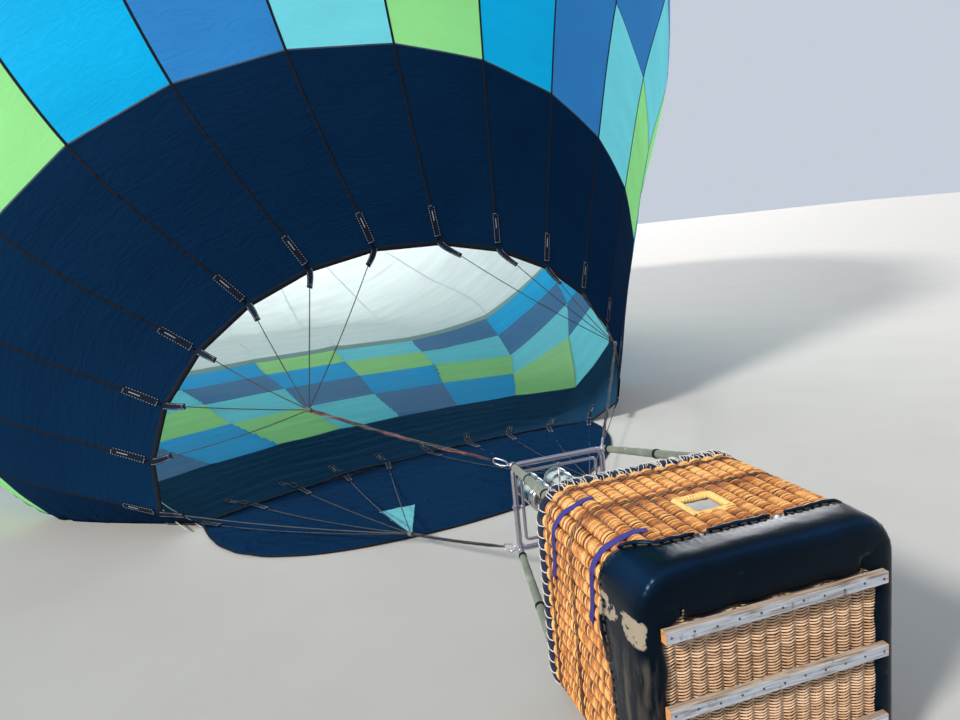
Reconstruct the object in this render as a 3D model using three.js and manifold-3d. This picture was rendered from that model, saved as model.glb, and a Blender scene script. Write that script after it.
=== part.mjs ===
// A small passenger hot air balloon lying on its side while fans blow cold air into it.
// The wicker basket lies with its bottom towards -Y, its burner frame reaches towards +Y,
// and the wires run from that frame to the mouth of the envelope.
// Millimetres, +Z up. The ground is z = 0 and the origin is on it, in the middle of the mouth.
import * as THREE from 'three';
import { mergeVertices } from 'three/addons/utils/BufferGeometryUtils.js';
import Module from 'manifold-3d';

const UP = new THREE.Vector3(0, 0, 1);

const wasm = await Module();
wasm.setup();

// Driving sizes
const GAP = 0.3;

const CLOTH = 10;
const GORES = 24;
const SIDES = GORES * 2;
const ENVELOPE_YAW = THREE.MathUtils.degToRad(6.3);

const SCOOP_REACH = 1750;
const SCOOP_POWER = { left: 0.6, right: 1.15 };
const SCOOP_NOTCH = 40;
const RIM_TAPE = { wide: 50, thick: 12 };
const TAB = { wide: 60, thick: 12, long: 260 };
const WIRE = { radius: 6, sides: 6 };

const BASKET_AT = { x: 370, y: -5820 };
const BASKET = { wide: 1200, tall: 1180, long: 1050, corner: 190 };
const HIDE = { thick: 14, reach: 215, lip: 95, lipThick: 22 };
const WALL = 30;
const RIM = { thick: 86, deep: 84, bevel: 26 };
const FOOT_HOLE = { wide: 150, long: 150, y: 460 };
const FLOOR = 34;
const SKID = { long: 1030, wide: 52, deep: 56, pitch: 325 };
const TANK = { radius: 140, long: 860, dome: 70, collar: 95 };

const FRAME_Y = 2200;
const FRAME = { halfX: 330, halfZ: 300, tube: 19, socket: 34, lug: 30, seat: 22 };
const CLIP = { long: 118, radius: 26, bar: 6 };
const PIN = 7;
const GIMBAL = { halfX: 278, halfZ: 244, tube: 11, seat: 13 };
const CAN = { radius: 98, long: 340, apart: 220 };
const UPRIGHT = { radius: 24, sleeve: 34 };

// Materials, one for each finish
function finish(color, roughness = 0.8, metalness = 0) {
  return new THREE.MeshStandardMaterial({ color, roughness, metalness });
}
const navyCloth = finish(0x0c203c, 0.62);
const cobaltCloth = finish(0x2f62ad, 0.5);
const skyCloth = finish(0x5fbfe8, 0.5);
const paleCloth = finish(0xe3efe9, 0.55);
const sageCloth = finish(0x93aba0, 0.55);
const tapeWeb = finish(0x10151f, 0.8);
const wireSteel = finish(0x23262b, 0.6, 0.4);
const wicker = finish(0xc98a45, 0.75);
const wickerFloor = finish(0xd8b98c, 0.8);
const hide = finish(0x101113, 0.38);
const runnerWood = finish(0xc9bda6, 0.8);
const rimSuede = finish(0x1f2c4c, 0.9);
const sleeveCloth = finish(0x6f7a6c, 0.9);
const frameMetal = finish(0xb9b4c4, 0.35, 0.8);
const burnerSteel = finish(0xb7bbbe, 0.3, 0.9);
const tankMetal = finish(0xc4c8ca, 0.35, 0.85);

const balloon = new THREE.Group();

function add(parent, name, geometry, material) {
  const mesh = new THREE.Mesh(geometry, material);
  mesh.name = name;
  parent.add(mesh);
  return mesh;
}

// Joining and cutting of closed pieces
function toSolid(geometry) {
  const bare = geometry.clone();
  bare.deleteAttribute('normal');
  bare.deleteAttribute('uv');
  const merged = mergeVertices(bare, 1e-3);
  return new wasm.Manifold(new wasm.Mesh({
    numProp: 3,
    vertProperties: new Float32Array(merged.attributes.position.array),
    triVerts: new Uint32Array(merged.index.array),
  }));
}

function toGeometry(solid) {
  const mesh = solid.getMesh();
  const geometry = new THREE.BufferGeometry();
  geometry.setAttribute('position', new THREE.BufferAttribute(new Float32Array(mesh.vertProperties), 3));
  geometry.setIndex(new THREE.BufferAttribute(new Uint32Array(mesh.triVerts), 1));
  geometry.computeVertexNormals();
  return geometry;
}

function join(pieces) {
  return toGeometry(pieces.map(toSolid).reduce((whole, next) => whole.add(next)));
}

// The largest body of a solid that a cut has parted
function largest(solid) {
  return solid.decompose().sort((p, q) => q.volume() - p.volume())[0];
}

// A flat bar from p to q, its thickness along the direction "up"
function bar(p, q, wide, thick, up) {
  const along = q.clone().sub(p);
  const length = along.length();
  along.normalize();
  const side = new THREE.Vector3().crossVectors(up, along).normalize();
  const top = new THREE.Vector3().crossVectors(along, side);
  const box = new THREE.BoxGeometry(wide, thick, length);
  const basis = new THREE.Matrix4().makeBasis(side, top, along);
  basis.setPosition(p.clone().add(q).multiplyScalar(0.5));
  return box.applyMatrix4(basis);
}

// A round rod from p to q
function rod(p, q, radius, sides = 10, endRadius = radius) {
  const along = q.clone().sub(p);
  const geometry = new THREE.CylinderGeometry(endRadius, radius, along.length(), sides);
  const turn = new THREE.Quaternion().setFromUnitVectors(new THREE.Vector3(0, 1, 0), along.clone().normalize());
  geometry.applyQuaternion(turn);
  return geometry.translate(...p.clone().add(q).multiplyScalar(0.5).toArray());
}

// The envelope's cross-sections, from the mouth to the vent opening.
// y: where the section meets the ground; x, z: its centre; left, right, tall: its half sizes;
// lean: how far it tips towards the mouth for each unit of height; bow: how far its stretch on the
// ground curves towards the mouth; turn: degrees that it is swung about the vertical; seam: the angle of
// the first seam, in degrees. The part that would lie below the ground is laid flat on it.
const SECTIONS = [
  // name, y, x, left, right, tall, z, lean, bow, turn, seam
  ['mouth', -650, -150, 2600, 2750, 1940, 480, 0.12, -450, 6, -7],
  ['throat_top', 900, -300, 4040, 3920, 2860, 1420, 0.43, -800, 8, -14],
  ['row_1_top', 2600, -550, 4900, 4960, 3720, 2460, 0.56, -900, 6, -14],
  ['row_2_top', 4400, -550, 5800, 5940, 4680, 3400, 0.63, -950, 4, -13],
  ['row_3_top', 6300, -320, 6570, 6700, 5300, 4230, 0.63, -950, 2, -10],
  ['row_4_top', 8200, -50, 7200, 7350, 5800, 4920, 0.61, -900, 1, -8],
  ['sage_top', 8950, 150, 7450, 7660, 6070, 5220, 0.6, -850, 0, -7],
  ['pale_1', 10750, 250, 8000, 8150, 6600, 5850, 0.54, -650, 0, -7],
  ['pale_2', 12700, 250, 8350, 8400, 6950, 6350, 0.46, -400, 0, -7],
  ['pale_3', 14500, 200, 8250, 8250, 7000, 6700, 0.39, -200, 0, -7],
  ['pale_4', 16100, 150, 7500, 7500, 6500, 6950, 0.32, 0, 0, -7],
  ['pale_5', 17350, 100, 6200, 6200, 5500, 7000, 0.26, 0, 0, -7],
  ['pale_6', 18200, 50, 4500, 4500, 4100, 7000, 0.21, 0, 0, -7],
  ['vent_edge', 18700, 0, 2300, 2300, 2150, 7000, 0.18, 0, 0, -7],
].map(([name, y, x, left, right, tall, z, lean, bow, turn, seam]) => (
  { name, y, x, left, right, tall, z, lean, bow, turn, seam }));

// The point at one side number of a section. Sides count clockwise, seen from the basket.
function sectionPoint(section, side) {
  const { y, x, left, right, tall, z, lean, bow, turn, seam } = section;
  const round = Math.PI * 2;
  const angle = (((THREE.MathUtils.degToRad(seam) + (side / SIDES) * round) % round) + round) % round;
  const height = z + tall * Math.sin(angle);
  const point = new THREE.Vector3(0, -lean * height, height);
  if (height >= 0) {
    point.x = -Math.cos(angle) * (Math.cos(angle) > 0 ? left : right);
  } else {
    const contact = Math.asin(z / tall);
    const across = 1 - (2 * (angle - Math.PI - contact)) / (Math.PI - 2 * contact);
    point.x = (Math.cos(contact) * (right - left + (right + left) * across)) / 2;
    point.y = -bow * (1 - across * across);
    point.z = 0;
  }
  return point.applyAxisAngle(UP, THREE.MathUtils.degToRad(turn)).add(new THREE.Vector3(x, y, 0));
}

const outer = SECTIONS.map((section) => (
  Array.from({ length: SIDES }, (_, side) => sectionPoint(section, side))));

// Outward direction at every point, so that neighbouring bands share their inner edge too
function outward(row, side) {
  const above = outer[Math.min(row + 1, outer.length - 1)][side];
  const below = outer[Math.max(row - 1, 0)][side];
  const left = outer[row][(side + SIDES - 1) % SIDES];
  const right = outer[row][(side + 1) % SIDES];
  const up = above.clone().sub(below);
  const across = right.clone().sub(left);
  return up.cross(across).negate().normalize();
}
const inner = outer.map((ring, row) => ring.map((point, side) => (
  point.clone().addScaledVector(outward(row, side), -CLOTH))));

// A closed band between an outer and an inner skin, each given as rows of points round the mouth's axis
function loft(outerRows, innerRows) {
  const points = [...outerRows, ...innerRows].flat().flatMap((point) => point.toArray());
  const rows = outerRows.length;
  const count = rows * SIDES;
  const index = [];
  const quad = (p, q, r, t) => index.push(p, q, r, p, r, t);
  for (let side = 0; side < SIDES; side += 1) {
    const next = (side + 1) % SIDES;
    for (let row = 0; row < rows - 1; row += 1) {
      const low = row * SIDES;
      const high = low + SIDES;
      quad(low + side, low + next, high + next, high + side);
      quad(count + low + side, count + high + side, count + high + next, count + low + next);
    }
    const top = (rows - 1) * SIDES;
    quad(side, count + side, count + next, next);
    quad(top + side, top + next, count + top + next, count + top + side);
  }
  const geometry = new THREE.BufferGeometry();
  geometry.setAttribute('position', new THREE.Float32BufferAttribute(points, 3));
  geometry.setIndex(index);
  geometry.computeVertexNormals();
  return geometry;
}

// A closed band of cloth from one section to another
function band(first, last) {
  const rows = [];
  for (let row = first; row <= last; row += 1) rows.push(row);
  const skins = [outer, inner].map((skin) => rows.map((row) => skin[row].map((point, side) => {
    if (row !== first && row !== last) return point;
    const next = skin[row === first ? row + 1 : row - 1][side];
    const inset = next.clone().sub(point).setLength(GAP / 2);
    return point.clone().add(inset);
  })));
  return loft(skins[0], skins[1]);
}

const envelope = new THREE.Group();
envelope.rotation.z = ENVELOPE_YAW;
balloon.add(envelope);

// first section, last section
const BANDS = [
  ['throat_band', 0, 1, navyCloth],
  ['colour_row_1', 1, 2, cobaltCloth],
  ['colour_row_2', 2, 3, skyCloth],
  ['colour_row_3', 3, 4, cobaltCloth],
  ['colour_row_4', 4, 5, skyCloth],
  ['sage_band', 5, 6, sageCloth],
  ['pale_band_lower', 6, 8, paleCloth],
  ['pale_band_middle', 8, 10, paleCloth],
  ['crown_band', 10, 13, paleCloth],
];
for (const [name, first, last, material] of BANDS) {
  add(envelope, name, band(first, last), material);
}

// A point in front of the mouth's edge, at one side number, never below the ground
function beforeMouth(side, reach, depth) {
  const edge = outer[0][side];
  const forward = edge.clone().sub(outer[1][side]).setLength(reach);
  forward.z = Math.max(forward.z, -edge.z);
  return edge.clone().add(forward).addScaledVector(outward(0, side), -depth);
}

// The scoop, a flap laid on the ground in front of the mouth
function scoopOutline() {
  const sides = Array.from({ length: SIDES }, (_, side) => side).filter((side) => outer[0][side].z === 0);
  const edge = sides.map((side) => beforeMouth(side, GAP * 2 + RIM_TAPE.wide, 0)).sort((p, q) => p.x - q.x);
  const last = edge.length - 1;
  const shape = new THREE.Shape();
  edge.forEach((point, i) => {
    const front = point.y - (i === 0 || i === last ? SCOOP_NOTCH : GAP);
    if (i === 0) shape.moveTo(point.x, front);
    else shape.lineTo(point.x, front);
  });
  const middle = edge[0].clone().add(edge[last]).multiplyScalar(0.5);
  const half = edge[last].clone().sub(edge[0]).multiplyScalar(0.5);
  const steps = 18;
  for (let i = 1; i < steps; i += 1) {
    const angle = (Math.PI * i) / steps;
    const share = Math.cos(angle);
    const depth = Math.sin(angle) ** (share < 0 ? SCOOP_POWER.left : SCOOP_POWER.right);
    shape.lineTo(middle.x + half.x * share, middle.y + half.y * share - SCOOP_NOTCH - SCOOP_REACH * depth);
  }
  return shape;
}
// Each corner of the burner frame takes six wires. gather: the point where the wires meet
// before they run on to that corner.
const WIRE_GROUPS = [
  { name: 'wires_upper_left', first: 1, sideX: -1, sideZ: 1, gather: [-1190, -2520, 1250] },
  { name: 'wires_upper_right', first: 7, sideX: 1, sideZ: 1, gather: [2050, -1240, 1150] },
  { name: 'wires_lower_right', first: 13, sideX: 1, sideZ: -1, gather: [1150, -2350, 190] },
  { name: 'wires_lower_left', first: 19, sideX: -1, sideZ: -1, gather: [-560, -2700, 170] },
];
const envelopeTurn = new THREE.Matrix4().makeRotationZ(ENVELOPE_YAW);
const toEnvelope = envelopeTurn.clone().invert();
const frameCorner = (sideX, sideZ) => new THREE.Vector3(
  BASKET_AT.x + sideX * FRAME.halfX,
  BASKET_AT.y + FRAME_Y,
  BASKET.tall / 2 + sideZ * FRAME.halfZ,
);

// Where each tab starts on the rim tape and where it ends, in envelope coordinates
const tabs = [];
for (const group of WIRE_GROUPS) {
  const gather = new THREE.Vector3(...group.gather).applyMatrix4(toEnvelope);
  for (let i = 0; i < 6; i += 1) {
    const seam = (group.first + i) % GORES;
    const side = seam * 2;
    const base = beforeMouth(side, RIM_TAPE.wide * 0.8, RIM_TAPE.thick / 2);
    const reach = gather.clone().sub(base);
    const out = outward(0, side);
    if (base.z < 2 * RIM_TAPE.thick) {
      base.z = RIM_TAPE.thick + TAB.thick / 2 - 1;
      reach.z = 0;
      out.set(0, 0, 1);
    }
    tabs[seam] = { base, end: base.clone().add(reach.setLength(TAB.long)), out };
  }
}

// The mouth's rim tape, in front of the throat's edge, with its tabs. room: clearance added all round
function mouthTape(room) {
  const row = (reach, depth) => Array.from({ length: SIDES }, (_, side) => beforeMouth(side, reach, depth));
  const front = GAP / 2 + RIM_TAPE.wide + room;
  const back = GAP / 2 - room;
  const rim = loft(
    [row(front, -room), row(back, -room)],
    [row(front, RIM_TAPE.thick + room), row(back, RIM_TAPE.thick + room)],
  );
  const straps = tabs.map(({ base, end, out }) => {
    const extra = end.clone().sub(base).setLength(room);
    const from = base.clone().sub(extra);
    const to = end.clone().add(extra);
    return bar(from, to, TAB.wide + 2 * room, TAB.thick + 2 * room, out);
  });
  return [rim, ...straps].map(toSolid).reduce((whole, next) => whole.add(next));
}

const throatRoom = toSolid(loft(
  [outer[0].map((_, side) => beforeMouth(side, GAP / 2, -GAP)),
    outer[1].map((point, side) => point.clone().addScaledVector(outward(1, side), GAP))],
  [outer[0].map((_, side) => beforeMouth(side, GAP / 2, CLOTH + GAP)),
    outer[1].map((point, side) => point.clone().addScaledVector(outward(1, side), -CLOTH - GAP))],
));
add(envelope, 'mouth_tape', toGeometry(largest(mouthTape(0).subtract(throatRoom))), tapeWeb);

const scoop = toSolid(new THREE.ExtrudeGeometry(scoopOutline(), { depth: CLOTH, bevelEnabled: false }));
add(envelope, 'scoop', toGeometry(scoop.subtract(mouthTape(GAP))), navyCloth);

// The wires, from the tabs to the carabiners at the frame's corners
for (const group of WIRE_GROUPS) {
  const gather = new THREE.Vector3(...group.gather);
  const corner = frameCorner(group.sideX, group.sideZ);
  const from = corner.clone().add(gather.clone().sub(corner).setLength(FRAME.lug + CLIP.long));
  const pieces = [rod(from, gather, WIRE.radius * 2, 8)];
  pieces.push(new THREE.SphereGeometry(WIRE.radius * 2.6, 8, 6).translate(...gather.toArray()));
  for (let i = 0; i < 6; i += 1) {
    const seam = (group.first + i) % GORES;
    const [base, end] = [tabs[seam].base, tabs[seam].end].map((at) => at.clone().applyMatrix4(envelopeTurn));
    const reach = gather.clone().sub(end);
    const bend = reach.angleTo(end.clone().sub(base));
    const stop = end.clone().add(reach.setLength(GAP + WIRE.radius * Math.sin(bend)));
    pieces.push(rod(stop, gather, WIRE.radius, WIRE.sides));
  }
  add(balloon, group.name, join(pieces), wireSteel);
}

// The basket lies on its side: its own bottom is at y = 0 of this group, its rim towards +Y
const basket = new THREE.Group();
basket.position.set(BASKET_AT.x, BASKET_AT.y, BASKET.tall / 2);
balloon.add(basket);

function roundedRect(wide, tall, corner, Kind = THREE.Shape) {
  const shape = new Kind();
  const x = wide / 2;
  const z = tall / 2;
  shape.moveTo(-x + corner, -z);
  shape.lineTo(x - corner, -z);
  shape.absarc(x - corner, -z + corner, corner, -Math.PI / 2, 0);
  shape.lineTo(x, z - corner);
  shape.absarc(x - corner, z - corner, corner, 0, Math.PI / 2);
  shape.lineTo(-x + corner, z);
  shape.absarc(-x + corner, z - corner, corner, Math.PI / 2, Math.PI);
  shape.lineTo(-x, -z + corner);
  shape.absarc(-x + corner, -z + corner, corner, Math.PI, Math.PI * 1.5);
  return shape;
}

// Extrudes an outline in X and Z along +Y, from y to y + depth
function along(shape, y, depth, options = {}) {
  const settings = { depth, bevelEnabled: false, curveSegments: 6, ...options };
  return new THREE.ExtrudeGeometry(shape, settings).rotateX(-Math.PI / 2).translate(0, y, 0);
}

// The outline of the basket at a distance inside its widest size
function ring(outset, thickness) {
  const shape = roundedRect(BASKET.wide - 2 * outset, BASKET.tall - 2 * outset, BASKET.corner - outset);
  const deeper = outset + thickness;
  shape.holes.push(roundedRect(
    BASKET.wide - 2 * deeper, BASKET.tall - 2 * deeper, BASKET.corner - deeper, THREE.Path));
  return shape;
}

const wallOut = HIDE.thick + GAP;
const wallTop = BASKET.long - RIM.deep;
const tube = toSolid(along(ring(wallOut, WALL), 0, wallTop - GAP));

// Four walls, parted along the middle of each rounded corner
function wallWedge(quarter) {
  const reach = 2 * BASKET.tall;
  const bendX = BASKET.wide / 2 - BASKET.corner;
  const bendZ = BASKET.tall / 2 - BASKET.corner;
  const flat = quarter % 2 === 0 ? bendX : bendZ;
  const deep = quarter % 2 === 0 ? bendZ : bendX;
  const shape = new THREE.Shape();
  const cut = GAP * 0.7;
  shape.moveTo(-flat + cut, deep);
  shape.lineTo(flat - cut, deep);
  shape.lineTo(flat + reach - cut, deep + reach);
  shape.lineTo(-flat - reach + cut, deep + reach);
  return toSolid(along(shape, -1, BASKET.long)
    .rotateY((quarter * Math.PI) / 2));
}
const WALLS = [
  ['wall_ground', 0],
  ['wall_left', 1],
  ['wall_sky', 2],
  ['wall_right', 3],
];
for (const [name, quarter] of WALLS) {
  let wall = tube.intersect(wallWedge(quarter));
  if (name === 'wall_sky') {
    const cutter = new THREE.BoxGeometry(FOOT_HOLE.wide, FOOT_HOLE.long, 4 * WALL);
    wall = wall.subtract(toSolid(cutter.translate(0, FOOT_HOLE.y, BASKET.tall / 2 - WALL)));
  }
  add(basket, name, toGeometry(wall), wicker);
}

const floorInset = wallOut + WALL + GAP;
const floorShape = roundedRect(
  BASKET.wide - 2 * floorInset, BASKET.tall - 2 * floorInset, BASKET.corner - floorInset);
add(basket, 'basket_floor', along(floorShape, 0, FLOOR), wickerFloor);

// The hide roll wraps the bottom edge of the walls and laps onto the bottom
const hideSide = along(ring(0, HIDE.thick), -HIDE.lipThick, HIDE.reach + HIDE.lipThick);
const hideLip = along(ring(HIDE.thick - 1, HIDE.lip), -HIDE.lipThick, HIDE.lipThick - GAP);
add(basket, 'hide_roll', join([hideSide, hideLip]), hide);

// Three wooden runners across the bottom
for (let i = 0; i < 3; i += 1) {
  const runner = new THREE.BoxGeometry(SKID.long, SKID.deep - HIDE.lipThick - GAP, SKID.wide);
  runner.translate(0, -(SKID.deep + HIDE.lipThick + GAP) / 2, (1 - i) * SKID.pitch);
  add(basket, `runner_${i + 1}`, runner, runnerWood);
}

// The padded rim
const rimShape = ring(RIM.bevel, RIM.thick - 2 * RIM.bevel);
const rim = along(rimShape, wallTop + RIM.bevel, RIM.deep - 2 * RIM.bevel, {
  bevelEnabled: true, bevelSize: RIM.bevel, bevelThickness: RIM.bevel, bevelSegments: 2, curveSegments: 4,
});
add(basket, 'rim_pad', rim, rimSuede);

// Two fuel cylinders stand in the two left corners
const tankX = -BASKET.wide / 2 + floorInset + TANK.radius + 4;
const tankZ = BASKET.tall / 2 - floorInset - TANK.radius - 4;
const tankProfile = [
  [0, 0], [TANK.radius - 30, 0], [TANK.radius, 30], [TANK.radius, TANK.long - TANK.dome],
  [TANK.radius * 0.8, TANK.long - 20], [TANK.collar, TANK.long], [TANK.collar, TANK.long + 60],
  [TANK.collar - 8, TANK.long + 60], [TANK.collar - 8, TANK.long - 4], [28, TANK.long - 4],
  [28, TANK.long + 45], [0, TANK.long + 45],
].map(([r, y]) => new THREE.Vector2(r, y));
for (const [name, side] of [['fuel_cylinder_upper', 1], ['fuel_cylinder_lower', -1]]) {
  const tank = new THREE.LatheGeometry(tankProfile, 20).translate(tankX, FLOOR + GAP, side * tankZ);
  add(basket, name, tank, tankMetal);
}

// The four uprights in their sleeves, from the rim's corners to the frame's corners
const rimX = BASKET.wide / 2 - BASKET.corner * 0.45;
const rimZ = BASKET.tall / 2 - BASKET.corner * 0.45;
const corners = [[-1, 1], [1, 1], [1, -1], [-1, -1]];
const frameAt = (sideX, sideZ) => new THREE.Vector3(sideX * FRAME.halfX, FRAME_Y, sideZ * FRAME.halfZ);
const footAt = (sideX, sideZ) => new THREE.Vector3(sideX * rimX, BASKET.long + GAP, sideZ * rimZ);
corners.forEach(([sideX, sideZ], i) => {
  const foot = footAt(sideX, sideZ);
  const head = frameAt(sideX, sideZ);
  const dir = head.clone().sub(foot).normalize();
  const flange = foot.clone().setY(foot.y + UPRIGHT.sleeve * 0.6);
  const start = foot.clone().addScaledVector(dir, UPRIGHT.sleeve * 0.4);
  const stop = head.clone().addScaledVector(dir, -FRAME.socket - GAP);
  const pieces = [
    rod(foot, flange, UPRIGHT.sleeve, 12),
    rod(start, stop, UPRIGHT.sleeve, 12, UPRIGHT.radius),
  ];
  add(basket, `upright_${i + 1}`, join(pieces), sleeveCloth);
});

// The direction in which each corner's wires pull, in basket coordinates
const pullAt = (group) => (
  new THREE.Vector3(...group.gather).sub(basket.position).sub(frameAt(group.sideX, group.sideZ)).normalize());

// The burner frame: a socket for each upright, a lug for each carabiner and two seats for the gimbal's pins
const framePieces = WIRE_GROUPS.flatMap((group, i) => {
  const [nextX, nextZ] = corners[(i + 1) % 4];
  const corner = frameAt(group.sideX, group.sideZ);
  const down = footAt(group.sideX, group.sideZ).sub(corner).setLength(FRAME.socket);
  return [
    rod(corner, frameAt(nextX, nextZ), FRAME.tube, 10),
    rod(corner, corner.clone().add(down), UPRIGHT.radius, 10),
    rod(corner, corner.clone().addScaledVector(pullAt(group), FRAME.lug), CLIP.bar * 1.6, 8),
  ];
});
for (const sign of [-1, 1]) {
  framePieces.push(new THREE.BoxGeometry(2 * FRAME.seat, PIN * 4, PIN * 4)
    .translate(sign * FRAME.halfX, FRAME_Y, 0));
}
add(basket, 'burner_frame', join(framePieces), frameMetal);

// Carabiners, one at each corner of the frame
for (const [i, group] of WIRE_GROUPS.entries()) {
  const corner = frameAt(group.sideX, group.sideZ);
  const dir = pullAt(group);
  const near = corner.clone().addScaledVector(dir, FRAME.lug + GAP + CLIP.bar);
  const far = corner.clone().addScaledVector(dir, FRAME.lug + CLIP.long - GAP - CLIP.bar);
  const side = new THREE.Vector3().crossVectors(dir, new THREE.Vector3(1, 0, 0)).setLength(CLIP.radius);
  const link = (from, to, up) => bar(from, to, 2 * CLIP.bar, 2 * CLIP.bar, up);
  const rail = (sign) => link(near.clone().addScaledVector(side, sign), far.clone().addScaledVector(side, sign), side);
  const cap = (at) => link(at.clone().addScaledVector(side, -1.2), at.clone().addScaledVector(side, 1.2), dir);
  add(basket, `carabiner_${i + 1}`, join([rail(1), rail(-1), cap(near), cap(far)]), burnerSteel);
}

// The gimbal ring swings in the frame about X, the burners swing in the ring about Z
const gimbalAt = (x, z) => new THREE.Vector3(x * GIMBAL.halfX, FRAME_Y, z * GIMBAL.halfZ);
const gimbalPieces = corners.flatMap(([x, z], i) => {
  const [nextX, nextZ] = corners[(i + 1) % 4];
  return [
    rod(gimbalAt(x, z), gimbalAt(nextX, nextZ), GIMBAL.tube, 8),
    new THREE.SphereGeometry(GIMBAL.tube * 1.1, 8, 6).translate(...gimbalAt(x, z).toArray()),
  ];
});
for (const sign of [-1, 1]) {
  const start = new THREE.Vector3(sign * GIMBAL.halfX, FRAME_Y, 0);
  const stop = new THREE.Vector3(sign * (FRAME.halfX - FRAME.seat - GAP), FRAME_Y, 0);
  gimbalPieces.push(rod(start, stop, PIN, 10));
  gimbalPieces.push(new THREE.BoxGeometry(PIN * 3, PIN * 3, 2 * GIMBAL.seat)
    .translate(0, FRAME_Y, sign * GIMBAL.halfZ));
}
add(basket, 'gimbal_ring', join(gimbalPieces), frameMetal);

const blockHalf = 60;
const block = new THREE.BoxGeometry(CAN.apart + 60, 70, 2 * blockHalf).translate(0, FRAME_Y - 10, 0);
const blockPieces = [block];
for (const sign of [-1, 1]) {
  const start = new THREE.Vector3(0, FRAME_Y, sign * (blockHalf - 5));
  const stop = new THREE.Vector3(0, FRAME_Y, sign * (GIMBAL.halfZ - GIMBAL.seat - GAP));
  blockPieces.push(rod(start, stop, PIN, 10));
}
for (const sign of [-1, 1]) {
  const start = new THREE.Vector3(sign * CAN.apart / 2, FRAME_Y - 40, 0);
  blockPieces.push(rod(start, start.clone().setY(FRAME_Y - 130), 16, 10));
  const lever = new THREE.BoxGeometry(18, 14, 130);
  blockPieces.push(lever.translate(sign * CAN.apart / 2, FRAME_Y - 118, -50));
}
add(basket, 'burner_block', join(blockPieces), burnerSteel);

const canProfile = [
  [0, 0], [CAN.radius - 20, 0], [CAN.radius, 20], [CAN.radius, CAN.long], [CAN.radius - 6, CAN.long],
  [CAN.radius - 6, 60], [30, 50], [30, 90], [0, 90],
].map(([r, y]) => new THREE.Vector2(r, y));
for (const [name, sign] of [['burner_left', -1], ['burner_right', 1]]) {
  const can = new THREE.LatheGeometry(canProfile, 24);
  add(basket, name, can.translate(sign * CAN.apart / 2, FRAME_Y + 25 + GAP, 0), burnerSteel);
}

// The vent: a loose disc behind the opening, held under the crown ring and its tapes
const edgeSection = SECTIONS[SECTIONS.length - 1];
const ventCentre = new THREE.Vector3(
  edgeSection.x, edgeSection.y - edgeSection.lean * edgeSection.z, edgeSection.z);
const ventTilt = Math.atan(edgeSection.lean);
const ventSeam = THREE.MathUtils.degToRad(edgeSection.seam);
const VENT = { lap: 0.075, shares: [0.97, 0.7, 0.4], dome: 150, lines: 340, ringRadius: 160, ringTube: 12 };

function domePoint(share, angle, lift) {
  const flat = new THREE.Vector3(
    -edgeSection.left * share * Math.cos(angle),
    lift,
    (edgeSection.tall / Math.cos(ventTilt)) * share * Math.sin(angle),
  );
  return flat.applyAxisAngle(new THREE.Vector3(1, 0, 0), ventTilt).add(ventCentre);
}
const bulge = (share) => VENT.dome * (1 - (share / VENT.shares[0]) ** 2) - 2 * CLOTH;

// The disc's edge lies against the inside of the crown, its middle bulges out through the opening
function ventDisc() {
  const last = outer.length - 1;
  const points = [];
  for (const drop of [0, CLOTH]) {
    for (let side = 0; side < SIDES; side += 1) {
      const seat = inner[last][side].clone().lerp(inner[last - 1][side], VENT.lap);
      points.push(seat.addScaledVector(outward(last, side), -GAP - drop));
    }
    for (const share of VENT.shares) {
      for (let side = 0; side < SIDES; side += 1) {
        const angle = ventSeam + (side / SIDES) * Math.PI * 2;
        points.push(domePoint(share, angle, bulge(share) - drop));
      }
    }
    points.push(domePoint(0, 0, bulge(0) - drop));
  }
  const rows = VENT.shares.length + 1;
  const layer = rows * SIDES + 1;
  const index = [];
  const quad = (p, q, r, s) => index.push(p, q, r, p, r, s);
  for (let side = 0; side < SIDES; side += 1) {
    const next = (side + 1) % SIDES;
    for (let i = 0; i < rows - 1; i += 1) {
      const low = i * SIDES;
      const high = low + SIDES;
      quad(low + side, low + next, high + next, high + side);
      quad(layer + low + side, layer + high + side, layer + high + next, layer + low + next);
    }
    const top = (rows - 1) * SIDES;
    index.push(top + side, top + next, layer - 1);
    index.push(layer + top + side, 2 * layer - 1, layer + top + next);
    quad(side, layer + side, layer + next, next);
  }
  const geometry = new THREE.BufferGeometry();
  geometry.setAttribute('position', new THREE.Float32BufferAttribute(points.flatMap((p) => p.toArray()), 3));
  geometry.setIndex(index);
  geometry.computeVertexNormals();
  return geometry;
}
const inward = new THREE.Vector3(0, -Math.cos(ventTilt), -Math.sin(ventTilt));
const crownBand = band(outer.length - 4, outer.length - 1);
const crownRoom = toSolid(crownBand.translate(...inward.clone().multiplyScalar(2 * GAP).toArray()));
add(envelope, 'vent_disc', toGeometry(largest(toSolid(ventDisc()).subtract(crownRoom))), paleCloth);

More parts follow.
